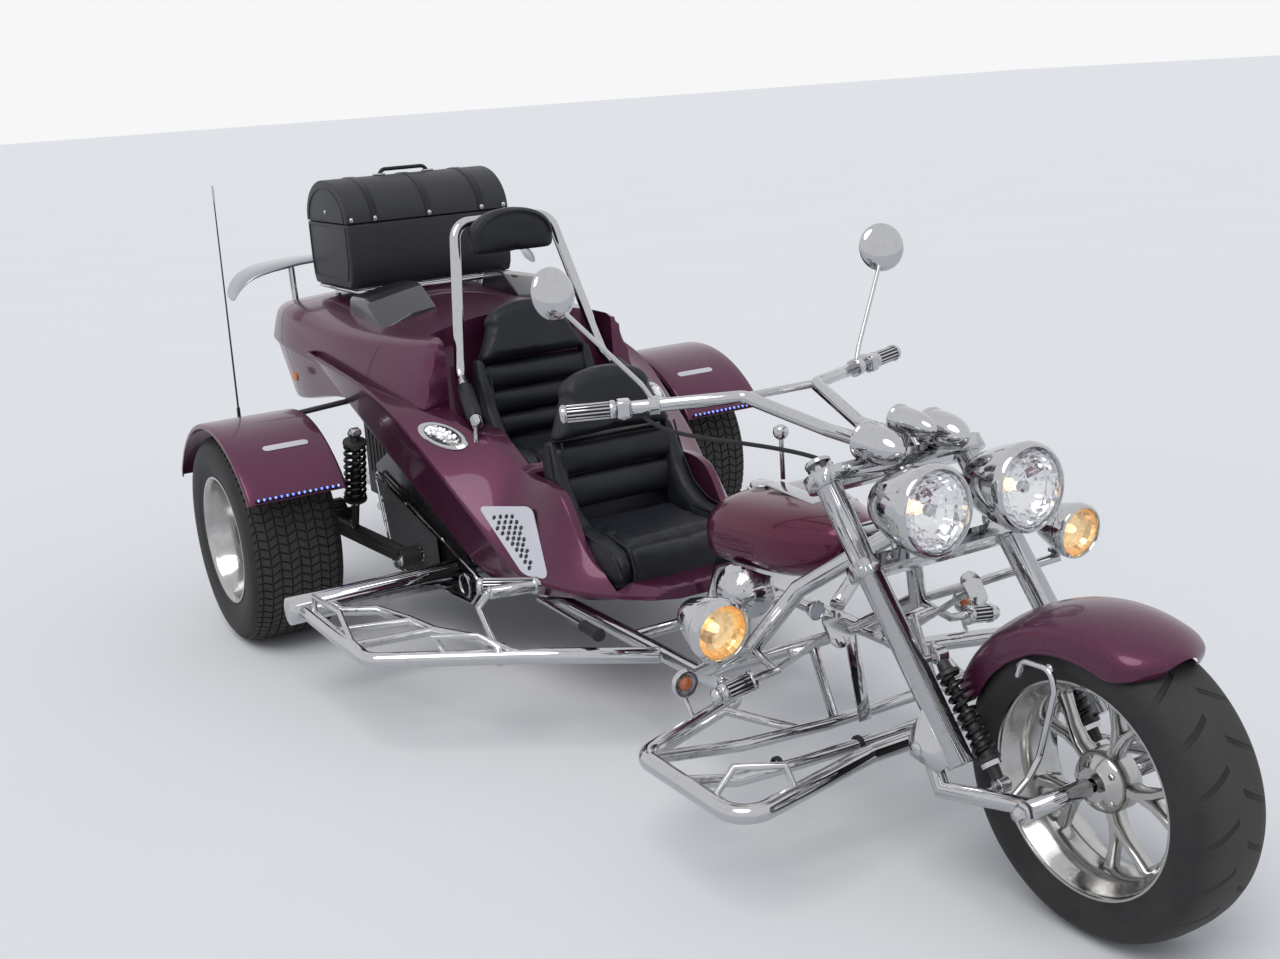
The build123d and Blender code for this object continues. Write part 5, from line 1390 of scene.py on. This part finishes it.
def fluted(name, start, along, radius, long, body="chassis", node=None):
    """A rubber sleeve with bright ribs along it and turned bright ends: for grips and foot pegs."""
    finish = start + along
    core = [(12, radius - 1.8), (12, radius), (long - 14, radius), (long - 14, radius - 1.8)]
    dress(lathe(name + "_core", start, finish, core, 40), RUBBER, body, node)
    out = along.cross(UP).normalized()
    over = out.cross(along).normalized()
    ribs = []
    for index in range(14):
        bearing = FULL_TURN * index / 14
        way = out * math.cos(bearing) + over * math.sin(bearing)
        tilt = Matrix((way, way.cross(along), along)).transposed()
        middle = start + along * long / 2000 + way * (radius + 0.6) / 1000
        ribs.append(block("rib", middle, (3.4, 4.2, long - 30), tilt, bevel=1.2))
    big = radius + 4.3
    cap = [(-2, 0), (-2, big - 9), (0, big - 4), (3, big - 0.5), (9, big), (12, big - 2), (14.5, big - 2), (14.5, 0)]
    flange = [(long - 14.5, radius - 2), (long - 14.5, big - 1.5), (long - 11, big), (long - 3, big),
              (long, big - 2), (long, radius - 2)]
    ends = [lathe("end", start, finish, profile, 40) for profile in (cap, flange)]
    dress(join([*ribs, *ends], name + "_ribs"), CHROME, body)


def grips():
    """Ribbed bright grips with rubber between the ribs, and switch housings."""
    for side, word in SIDES.items():
        bend, end = on_side(side, front, *BAR_END)
        along = (bend - end).normalized()
        start = end - along * 0.003
        fluted("grip_" + word, start, along, 18.2, 131, "fork", "bar_grips")
        out = along.cross(UP).normalized()
        over = out.cross(along).normalized()
        middle = start + along * 0.150
        housing = block("switch_housing", middle, (46, 44, 36), Matrix((out, over, along)).transposed(), 8, 4)
        button = lathe("button", middle - over * 0.02, middle - over, [(0, 0), (0, 6), (6, 6), (7, 4), (7, 0)], 20)
        dress(join([housing, button], "switch_housing_" + word), CHROME, "fork")


def coil_over(name, low, high, coil_from, coil_to, coil_radius, wire_radius, turns, body, node):
    """A shock absorber: damper body, chrome rod, collars, bushed eyes and an open coil spring round them."""
    axis = (high - low).normalized()
    length = (high - low).length * 1000
    across = axis.orthogonal().normalized()
    other = axis.cross(across)
    helix = []
    for step in range(turns * 14 + 1):
        bearing = FULL_TURN * step / 14
        rise = coil_from + (coil_to - coil_from) * step / (turns * 14)
        swing = across * math.cos(bearing) + other * math.sin(bearing)
        helix.append(low + (axis * rise + swing * coil_radius) / 1000)
    dress(bar(name + "_spring", helix, wire_radius, ring=8, steps=1), GLOSS_BLACK, body, node, "black_steel")
    rim = coil_radius + wire_radius
    damper = [
        (12, 0), (12, 11), (coil_from - 12, 14), (coil_from - 10, rim), (coil_from - 3, rim + 1), (coil_from - 2, 16),
        (coil_from + (coil_to - coil_from) * 0.55, 16), (coil_from + (coil_to - coil_from) * 0.56, 9), (coil_to + 1, 9),
        (coil_to + 2, rim + 1), (coil_to + 10, rim), (coil_to + 14, 15), (length - 12, 13), (length - 10, 0)]
    dress(lathe(name + "_damper", low, high, damper, 36), SATIN_BLACK, body)
    parts = []
    for place in (low, high):
        for part, back, steps, profile in (
            ("eye", 0.014, 28, [(0, 9), (0, 15), (2, 17), (26, 17), (28, 15), (28, 9)]),
            ("eye_bolt", 0.021, 6, [(0, 0), (0, 8), (1, 9.5), (41, 9.5), (42, 8), (42, 0)]),
        ):
            parts.append(lathe(part, place - LEFT * back, place + LEFT, profile, steps))
    adjuster = [(coil_from - 22, 13), (coil_from - 22, 21), (coil_from - 12, 21), (coil_from - 12, 13)]
    parts.append(lathe("adjuster", low, high, adjuster, 16, 20))
    dress(join(parts, name + "_eyes"), CHROME, body)


def shocks():
    """The front and rear shock absorbers, from their lower to their upper eyes."""
    for word_at, place, ends, sizes, body in (
        ("front", front, [(-147, 140, 285), (-325, 140, 507)], (62, 238, 19.5, 5.2, 9), "fork"),
        ("rear", rear, [(160, 520, 330), (254, 520, 668)], (122, 312, 31, 6.2, 8), "chassis"),
    ):
        for side, word in SIDES.items():
            name = "%s_shock_%s" % (word_at, word)
            coil_over(name, *on_side(side, place, *ends), *sizes, body, word_at + "_shocks")


def front_fender():
    """The front mudguard: a thin crowned shell with a rounded tip and tail, on two bright bent stays."""
    rows = []
    first, last = 59, 164
    for step in range(37):
        angle = first + (last - first) * step / 36
        near_tip = min(1.0, (angle - first) / 13)
        near_tail = min(1.0, (last - angle) / 9)
        share_wide = ((math.sqrt(max(0.0, 1 - (1 - near_tip) ** 2)) * 0.62 + 0.38)
                      * (math.sqrt(max(0.0, 1 - (1 - near_tail) ** 2)) * 0.3 + 0.7))
        skirt = 324 - (324 - 272) * min(near_tip, near_tail) ** 0.6
        bearing = math.radians(angle)
        out = Vector((math.cos(bearing), 0, math.sin(bearing)))
        half = [(113, skirt), (114, (skirt + 318) / 2), (112.5, 318), (108, 328), (96, 337.5), (72, 347.5), (40, 355)]
        section = [*((-across, radius) for across, radius in half), (0, 357.5), *reversed(half)]
        rows.append([FRONT_HUB + LEFT * across * share_wide / 1000 + out * radius / 1000
                     for across, radius in section])
    shell = skin("front_mudguard", rows, around=False, caps=False)
    modify(shell, "SOLIDIFY", thickness=0.004, offset=-1)
    dress(smooth(divided(outward(shell), 1), 50), PLUM, "fork", "front_fender")
    for side, word in SIDES.items():
        stay = bar("mudguard_stay", on_side(
            side, front, (-124, 118, 520), (-110, 121, 556), (-34, 122, 560), (-24, 122, 520), (-62, 122, 372),
            (-66, 150, 330), (-66, 192, 303)), 7, 24)
        bolts = [stud("stay_bolt", place, LEFT * side, 7)
                 for place in on_side(side, front, (-118, 118, 538), (-40, 119, 560))]
        dress(join([stay, *bolts], "mudguard_stay_" + word), CHROME, "fork")


def fork_trim():
    """Fork legs, plates and arms smoothed, with leg caps, pinch bolts, pivot covers and the axle's nuts."""
    shown_node("fork_legs", CHROME, "fork")
    shown_node("front_swing_arms", CHROME, "fork")
    parts = []
    for side in SIDES:
        out = LEFT * side
        top, pin, axle = fork(0, side * 197, -45), front(-300, side * 226, 333), front(0, side * 216, 311.5)
        fittings = [("leg_cap", top - STEER_UP * 0.002, top + STEER_UP, 40,
                     [(0, 0), (0, 29.5), (6, 29.5), (10, 26), (12, 12), (13, 0)])]
        for along in (-84, -297):
            for lift in (-15.5, 15.5):
                ring_at = fork(0, side * 197, along + lift)
                fittings.append(("leg_ring", ring_at - STEER_UP * 0.003, ring_at + STEER_UP, 40,
                                 [(0, 27), (0, 33), (1.5, 34.5), (4.5, 34.5), (6, 33), (6, 27)]))
            bolt_at = fork(44, side * 166, along)
            fittings.append(("pinch_bolt", bolt_at, bolt_at + FORK_AHEAD, 6,
                             [(0, 0), (0, 7.5), (6, 7.5), (8, 5), (8, 0)]))
        fittings.append(("arm_pin_cap", pin - out * 0.004, pin + out, 24,
                         [(0, 0), (0, 15), (6, 15), (10, 11), (12, 0)]))
        fittings.append(("axle_nut", axle, axle + out, 6, [
            (0, 9), (0, 20), (3, 22), (12, 22), (12, 14), (26, 13), (30, 10), (30, 0), (0, 0)]))
        parts += [lathe(name, start, towards, profile, steps) for name, start, towards, steps, profile in fittings]
    dress(join(parts, "fork_fittings"), CHROME, "fork")


headlights()
fog_lamps()
gauges()
mirrors()
grips()
shocks()
front_fender()
fork_trim()


# Tank, panels, vents, fenders, lamps and foot controls
def tank():
    """The cherry-red tank with a flat-topped section, a bright cap and console, and its bare badge place."""
    rows = []
    for ahead, half, middle, tall in (
        (-1246, 52, 565, 36), (-1238, 84, 565, 58), (-1216, 116, 569, 76), (-1180, 147, 578, 92),
        (-1140, 163, 587, 99), (-1080, 161, 591, 101), (-1000, 157, 596, 100), (-897, 147, 600, 96),
        (-820, 114, 607, 83), (-765, 84, 612, 68), (-745, 66, 614, 56), (-738, 40, 615, 34),
    ):
        row = []
        for corner in range(28):
            bearing = FULL_TURN * corner / 28
            square = (abs(math.cos(bearing)) ** 2.7 + abs(math.sin(bearing)) ** 2.7) ** (1 / 2.7)
            row.append(front(ahead, half * 0.97 * math.cos(bearing) / square,
                             middle + tall * 0.95 * math.sin(bearing) / square))
        rows.append(row)
    dress(smooth(divided(skin("tank", rows), 2), 60), TANK_RED, node="fuel_tank")
    cap = lathe("tank_cap", front(-1127, 0, 678), front(-1127, 0, 702), [
        (-4, 0), (-4, 37), (1, 39), (4, 36), (5, 31.5), (12, 31.5), (15, 29), (17, 24), (17.5, 0)], 40)
    console = block("tank_console", front(-985, 0, 693), (190, 46, 8), lean(-3), 3.5, 4)
    dress(join([cap, console], "tank_cap"), CHROME, node="fuel_cap")


def on_flank(side, ahead, up):
    """A place on the tub's side, between its ridge and its upper edge."""
    for near, far in zip(TUB, TUB[1:]):
        if near[0] <= ahead <= far[0]:
            share = (ahead - near[0]) / (far[0] - near[0])
            ridge, ridge_z, edge, edge_z = (a + (b - a) * share for a, b in zip(near[3:], far[3:]))
            half = ridge + (edge - ridge) * (up - ridge_z) / (edge_z - ridge_z)
            return rear(ahead, side * half, up)


def facing(out, side):
    """A way, turned round if it doesn't point to this side."""
    return out if out.y * side > 0 else -out


# Rows of holes in a vent plate: the first hole's column, and how many there are
VENT_HOLES = [(0, 4), (0, 4), (-1, 5), (-1, 4), (-1, 4), (-1, 3), (-1, 3), (-1, 2), (-1, 2), (-1, 1)]
VENT_LIFT = 0.0045


def vents():
    """Round-cornered white vent plates, their holes cut through to a mesh plate whose near-black gaps are painted
    shade.
    """
    for side, word in SIDES.items():
        corners = [on_flank(side, ahead, up) for ahead, up in ((842, 522), (1012, 534), (1156, 366), (1068, 360))]
        middle = sum(corners, Vector()) / 4
        along = (corners[2] - corners[0]).normalized()
        out = facing(along.cross(corners[1] - corners[3]).normalized(), side)
        flat = [place - out * ((place - middle).dot(out) - VENT_LIFT) for place in corners]
        sheet = plate("vent_plate", flat, 4.5)
        shape = sheet.data
        if sum((vertex.co - middle).dot(out) for vertex in shape.vertices) < 8 * VENT_LIFT:
            sheet.location = out * VENT_LIFT
            settle(sheet)

        def stands_up(edge):
            one, other = (shape.vertices[index].co for index in edge.vertices)
            return abs((one - other).normalized().dot(out)) > 0.9

        pick(sheet, "EDGE", stands_up)
        bpy.ops.mesh.bevel(offset=0.024, segments=6, affect="EDGES")
        close_edit()
        drills = []
        for row, (first, count) in enumerate(VENT_HOLES):
            for column in range(first, first + count):
                place = on_flank(side, 904 + 18.3 * column + 21.6 * row, 492 + 1.9 * column - 12.0 * row)
                place -= out * (place - middle).dot(out)
                drills.append(turned("drill", place - out * 0.02, place + out,
                                     [(0, 0), (0, 7.5), (50, 7.5), (50, 0)], 6))
        cut(sheet, join(drills, "drills"))
        rounded(sheet, 0.8, 2)
        sheet.name = "vent_plate_" + word
        dress(smooth(sheet), VENT_WHITE, node="vent_inserts")
        inner = [middle + (place - middle) * 0.9 + out * 0.003 for place in flat]
        # the mesh plate's near-black gaps are painted shade behind the holes
        dress(plate("vent_mesh_" + word, inner, 0.8), MESH_PAINTED_SHADE)


def side_panels():
    """Gloss side panels with a framed wire mesh whose near-black gaps are painted shade, bright piping, screws and a
    fan behind the lower corner.
    """
    shown_node("side_panels", GLOSS_BLACK, angle=30)
    for side, word in SIDES.items():
        face = side * 403.5
        net = [rear(ahead, face, up) for ahead, up in ((104, 474), (182, 214), (566, 236), (556, 366))]
        # the mesh plate's near-black gaps are painted shade over the panel
        dress(plate("panel_mesh_" + word, net, 1.5), MESH_PAINTED_SHADE)
        corners = on_side(side, rear, (72, 403, 503), (160, 403, 180), (782, 403, 214), (872, 403, 296))
        start = corners[0].lerp(corners[3], 0.5)
        dress(bar("panel_piping_" + word, [start, *reversed(corners), start], 4.5, 30, 8), CHROME)
        parts = [stud("panel_screw", rear(ahead, face, up), LEFT * side, 5) for ahead, up in (
            (92, 470), (132, 330), (168, 200), (380, 205), (600, 222), (760, 232), (330, 430), (600, 372))]
        fan_at = rear(742, face - side * 2, 262)
        parts.append(lathe("fan", fan_at, fan_at + LEFT * side,
                           [(0, 30), (0, 40), (6, 40), (8, 38), (8, 32), (6, 30)], 36))
        dress(join(parts, "panel_fittings_" + word), CHROME)


# The rear mudguards' arc in side view, and the section across it: half width, lift from the arc
ARC_UP, ARC_AHEAD, ARC_RADIUS = 253.87, 45.5, 474.35
ARC_FIRST = math.atan2(500 - ARC_UP, -360 - ARC_AHEAD)
ARC_LAST = math.atan2(545 - ARC_UP, 420 - ARC_AHEAD)
ARC_SECTION = [(619, -16), (618.5, -8), (621, -3), (627, -0.6), (660, -0.3), (720, 0), (773, 0), (830, 0),
               (886, -0.3), (919, -0.6), (925, -3), (927.5, -8), (927, -16)]


def on_arc(side, share, across, lift):
    """A place on a rear mudguard: a share of the way along its arc, out from the middle, and a lift from the arc."""
    bearing = ARC_FIRST + (ARC_LAST - ARC_FIRST) * share
    out = Vector((math.cos(bearing), 0, math.sin(bearing)))
    return rear(ARC_AHEAD, 0, ARC_UP) + LEFT * side * across / 1000 + out * (ARC_RADIUS + lift) / 1000


def rear_fenders():
    """Arched mudguards with rolled edges, a pale marker strip, a row of small lights and a steel bracket."""
    for side, word in SIDES.items():
        rows = []
        for step in range(33):
            tuck = 6 if step in (0, 32) else 0
            rows.append([on_arc(side, step / 32, across, lift - tuck) for across, lift in ARC_SECTION])
        shell = skin("mudguard_" + word, rows, around=False, caps=False)
        sample = shell.data.polygons[200]
        outwards = sample.normal.dot(sample.center - rear(ARC_AHEAD, 0, ARC_UP)) > 0
        modify(shell, "SOLIDIFY", thickness=0.0035, offset=-1 if outwards else 1)
        dress(smooth(outward(shell), 50), PLUM, node="rear_fenders")
        outline = []
        for index in range(16):
            bearing = FULL_TURN * index / 16
            middle = 808 if math.cos(bearing) > 0 else 692
            outline.append(on_arc(side, 0.785 + 0.0135 * math.sin(bearing), middle + 14 * math.cos(bearing), 0.4))
        dress(plate("marker_strip_" + word, outline, 1.2, 0.4), VENT_WHITE)
        ends = [on_arc(side, 0.992, across, 3) for across in (640, 906)]
        dress(bar("light_rail_" + word, ends, 4.5, ring=8), GLOSS_BLACK)
        bulbs = []
        for index in range(15):
            foot, top = (on_arc(side, 0.992, 648 + 17.8 * index, lift) for lift in (5, 25))
            bulbs.append(lathe("bulb", foot, top, [(0, 0), (0, 4.4), (2, 4), (4, 2.2), (4.6, 0)], 10))
        dress(join(bulbs, "light_row_" + word), BLUE_LED)
        bracket = on_side(side, rear, (60, 430, 735), (60, 626, 721))
        dress(bar("mudguard_bracket_" + word, bracket, 9), SATIN_BLACK)


def oval_lamp(name, place, out, along, long_half, wide_half, parts):
    """Turned parts pulled to an oval and laid on the body: each part is a profile and a finish."""
    pose = Matrix((along, out.cross(along).normalized(), out)).transposed().to_4x4()
    for index, (profile, finish) in enumerate(parts):
        piece = turned(name, Vector(), UP, profile)
        piece.scale = (long_half, wide_half, 1)
        settle(piece)
        piece.matrix_world = Matrix.Translation(place) @ pose
        outward(settle(piece), 0.0000001)
        piece.name = "%s_%d" % (name, index)
        dress(smooth(piece, 40), finish, node="marker_lamps")


def marker_lamps():
    """Oval side lamps, side reflectors, turn signals on posts, and round tail lamps."""
    for side, word in SIDES.items():
        near, far, high = (on_flank(side, *place) for place in ((560, 700), (650, 670), (600, 735)))
        along = (far - near).normalized()
        out = facing(along.cross(high - near).normalized(), side)
        oval_lamp("side_lamp_" + word, on_flank(side, 616, 690) + out * 0.001, out, along, 0.092, 0.039, [
            ([(0, 740), (0, 1000), (4, 1000), (7, 940), (7, 760), (4, 740)], CHROME),
            ([(0.5, 0), (0.5, 750), (2.5, 750), (3, 0)], REFLECTOR),
            ([(5, 760), (9, 600), (11, 300), (11.5, 0), (10.5, 0), (10, 300), (8, 590), (4, 750)], LENS)])
        reflector = block("side_reflector_" + word, rear(-372, side * 488, 762), (46, 8, 26), bevel=2.5)
        dress(reflector, ORANGE_PLASTIC)
        signal, low, high = on_side(side, front, (-897, 425, 350), (-838, 415, 254), (-880, 424, 322))
        towards = signal + AHEAD
        body = lathe("signal", signal, towards, [
            (0, 0), (0, 10), (6, 17), (16, 24), (28, 29), (30, 33), (40, 33), (44, 31), (44, 28), (34, 28), (20, 20),
            (12, 0)], 32)
        dress(join([body, bar("signal_post", [low, high], 5.5)], "signal_" + word), CHROME)
        bulb = [(34, 0), (34, 17), (40, 16), (46, 10), (48, 0)]
        dress(lathe("signal_bulb_" + word, signal, towards, bulb, 28), ORANGE_PLASTIC)
        dress(lens_dome("signal_lens_" + word, signal, towards, 40, 28.5, 12), LENS)
        for left, radius, colour in ((345, 42, RED_PLASTIC), (240, 34, ORANGE_PLASTIC)):
            oval_lamp("tail_lamp_%s_%d" % (word, left), rear(-684.5, side * left, 800), -AHEAD, UP, 1, 1, [
                ([(0, radius - 5), (0, radius), (9, radius), (13, radius - 3), (13, radius - 6), (8, radius - 6)],
                 CHROME),
                ([(1, 0), (1, radius - 5), (10, radius - 6), (14, radius * 0.6), (15.5, 0)], colour)])


def tubes():
    """The bare tube work and running gear keep their solids' forms, with their facets smoothed."""
    for node in ("main_frame", "highway_bars", "running_boards", "horn_cover", "passenger_hoop", "exhausts",
                 "control_levers"):
        shown_node(node, CHROME)
    shown_node("rear_axle", SATIN_BLACK)
    shown_node("foot_pegs", CHROME)
    shown_node("handlebar", CHROME, "fork")


def foot_fittings():
    """Knurled peg sleeves, end balls, tube rings, drilled bracket, small clock and frame clamps."""
    bright, dark = [], []
    for side, word in SIDES.items():
        for name, place, ends, radius, shorter in (
            ("passenger_peg_", rear, [(1277, 600, 440), (1339, 455, 425)], 18.6, 0),
            ("rider_peg_", front, [(-741, 316, 369), (-748, 405, 353)], 20, 2),
        ):
            low, high = on_side(side, place, *ends)
            fluted(name + word, low, (high - low).normalized(), radius, (high - low).length * 1000 - shorter)
        ball = [(-2, 0), (-2, 12), (2, 17), (9, 19.5), (16, 17), (21, 10), (23, 0)]
        bright.append(lathe("peg_ball", high, high * 2 - low, ball, 28))
        for place in on_side(side, front, (-560, 390, 250), (-535, 190, 250)):
            ring = [(0, 14.2), (0, 18), (2, 19), (10, 19), (12, 18), (12, 14.2)]
            dark.append(lathe("tube_ring", place - LEFT * 0.006, place + LEFT, ring, 28))
    clock = front(-657, -200, 529)
    rim = [(-14, 0), (-14, 17), (0, 22), (4, 23), (6, 20), (3, 18.5), (0, 18), (-10, 0)]
    bright.append(lathe("clock_rim", clock, clock + AHEAD, rim, 32))
    face = [(1, 0), (1, 18.6), (2.6, 18.6), (3, 0)]
    dress(lathe("clock_face", clock, clock + AHEAD, face, 32), VENT_WHITE)
    bright.append(block("drilled_bracket", front(-617, -120, 360), (4, 36, 196), lean(12), 1.5))
    dress(join(bright, "foot_fittings_bright"), CHROME)
    dress(join(dark, "foot_fittings_rubber"), RUBBER)
    grip = [(0, 9), (0, 15.4), (4, 16.5), (12, 15.4), (100, 16.5), (112, 18), (118, 15), (119, 0)]
    dress(lathe("brake_grip", rear(1440, -383, 323), rear(1556, -399, 334), grip, 28), RUBBER)


def engine():
    """The engine and gearbox as a block of castings: finned sides, covers and bolts."""
    shown_node("engine_block", ENGINE_METAL, angle=30)
    parts = [block("fin", rear(-462, 0, 400 + index * 19), (8, 380, 7)) for index in range(9)]
    for side in SIDES:
        for index in range(10):
            parts.append(block("side_fin", rear(-420 + index * 34, side * 229.5, 470), (8, 5, 210)))
        cover = rear(40, side * 228, 400)
        parts.append(lathe("side_cover", cover, cover + LEFT * side,
                           [(0, 0), (0, 88), (3, 86), (4.5, 70), (4.5, 30), (6, 26), (6, 0)], 40))
    dress(join(parts, "engine_castings"), ENGINE_METAL)


def antenna():
    """A whip antenna: sprung foot, tapered mast and a pale tip."""
    foot, top = rear(-200, -750, 659.7), rear(-155, -750, 1448)
    mast = [(-1, 0), (-1, 12), (5, 12), (9, 9), (14, 9), (16, 6), (60, 5.5), (62, 3.2), (400, 2.6), (786, 1.8),
            (788.5, 0)]
    dress(lathe("antenna_mast", foot, top, mast, 16), SATIN_BLACK, node="antenna")
    tip = [(0, 0), (0, 3.4), (44, 3.2), (48, 0)]
    dress(lathe("antenna_tip", top + (foot - top).normalized() * 0.05, top, tip, 16), VENT_WHITE)


def throttle_cable():
    """The throttle cable, in a smooth line from the right grip down to the fork's plate."""
    route = [(-1135, -330, 918), (-1075, -330, 898), (-960, -290, 886), (-800, -215, 880), (-690, -160, 866),
             (-660, -140, 850)]
    cable, spline = new_curve("NURBS", len(route))
    cable.name = "throttle_line"
    for point, place in zip(spline.points, route):
        point.co = (*front(*place), 1)
    spline.order_u = 3
    spline.use_endpoint_u = True
    thicken(cable.data, 0.005, 12, 3)
    cable.data.materials.append(RUBBER)
    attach(cable, "fork")
    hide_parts("throttle_cable")
    tuple(front(*route[0]))


tank()
vents()
side_panels()
rear_fenders()
marker_lamps()
tubes()
foot_fittings()
engine()
antenna()
throttle_cable()


# Floor, light and camera
def studio():
    """A pale floor, a plain bright surround and soft lamps."""
    bpy.ops.mesh.primitive_plane_add(size=240, location=(0, 0, 0))
    floor = bpy.context.object
    floor.name = "floor"
    ground = Finish("pale_floor", metallic=0.0, roughness=0.75, specular_ior_level=0.2)
    ground.set("Base Color", ground.blend(ground.noise(0.8, 3.0), (0.80, 0.80, 0.79), (0.83, 0.83, 0.82)))
    floor.data.materials.append(ground.material)
    world = bpy.data.worlds.new("surround")
    bpy.context.scene.world = world
    world.use_nodes = True
    tree = world.node_tree
    tree.nodes.clear()
    output = tree.nodes.new("ShaderNodeOutputWorld")
    seen = tree.nodes.new("ShaderNodeBackground")
    seen.inputs["Color"].default_value = (0.93, 0.93, 0.94, 1)
    light = tree.nodes.new("ShaderNodeBackground")
    light.inputs["Color"].default_value = (0.86, 0.90, 1.0, 1)
    light.inputs["Strength"].default_value = 0.66
    mix = tree.nodes.new("ShaderNodeMixShader")
    path = tree.nodes.new("ShaderNodeLightPath")
    shown = Value(path.outputs["Is Camera Ray"]) + Value(path.outputs["Is Glossy Ray"])
    shown = (shown + Value(path.outputs["Is Transmission Ray"])).clamp()
    wire(shown, mix.inputs[0])
    tree.links.new(light.outputs[0], mix.inputs[1])
    tree.links.new(seen.outputs[0], mix.inputs[2])
    tree.links.new(mix.outputs[0], output.inputs["Surface"])
    bpy.ops.object.light_add(type="SUN", location=(0, 0, 8))
    sun = bpy.context.object
    sun.name = "high_soft_sun"
    sun.data.energy = 1.15
    sun.data.angle = math.radians(38)
    sun.rotation_euler = Vector((0.35, -0.5, 1.0)).to_track_quat("Z", "Y").to_euler()


def viewpoint():
    """The camera at the photograph's place, angle and lens."""
    yaw, pitch, roll = (math.radians(angle) for angle in (149.8236, 14.6707, -3.8192))
    toward = Vector((math.cos(yaw) * math.cos(pitch), math.sin(yaw) * math.cos(pitch), -math.sin(pitch)))
    level = Vector((math.sin(yaw), -math.cos(yaw), 0))
    upright = level.cross(toward)
    right = level * math.cos(roll) + upright * math.sin(roll)
    up = upright * math.cos(roll) - level * math.sin(roll)
    camera = bpy.data.objects.new("viewpoint", bpy.data.cameras.new("viewpoint"))
    bpy.context.scene.collection.objects.link(camera)
    turned_to = Matrix((right, up, -toward)).transposed().to_4x4()
    camera.matrix_world = Matrix.Translation(rear(4767.5, -2119, 1686.8)) @ turned_to
    camera.data.sensor_width = 36
    camera.data.lens = 1528.546 / 1280 * 36
    camera.data.clip_end = 300
    bpy.context.scene.camera = camera


studio()
viewpoint()
bpy.context.scene.view_settings.view_transform = "Standard"
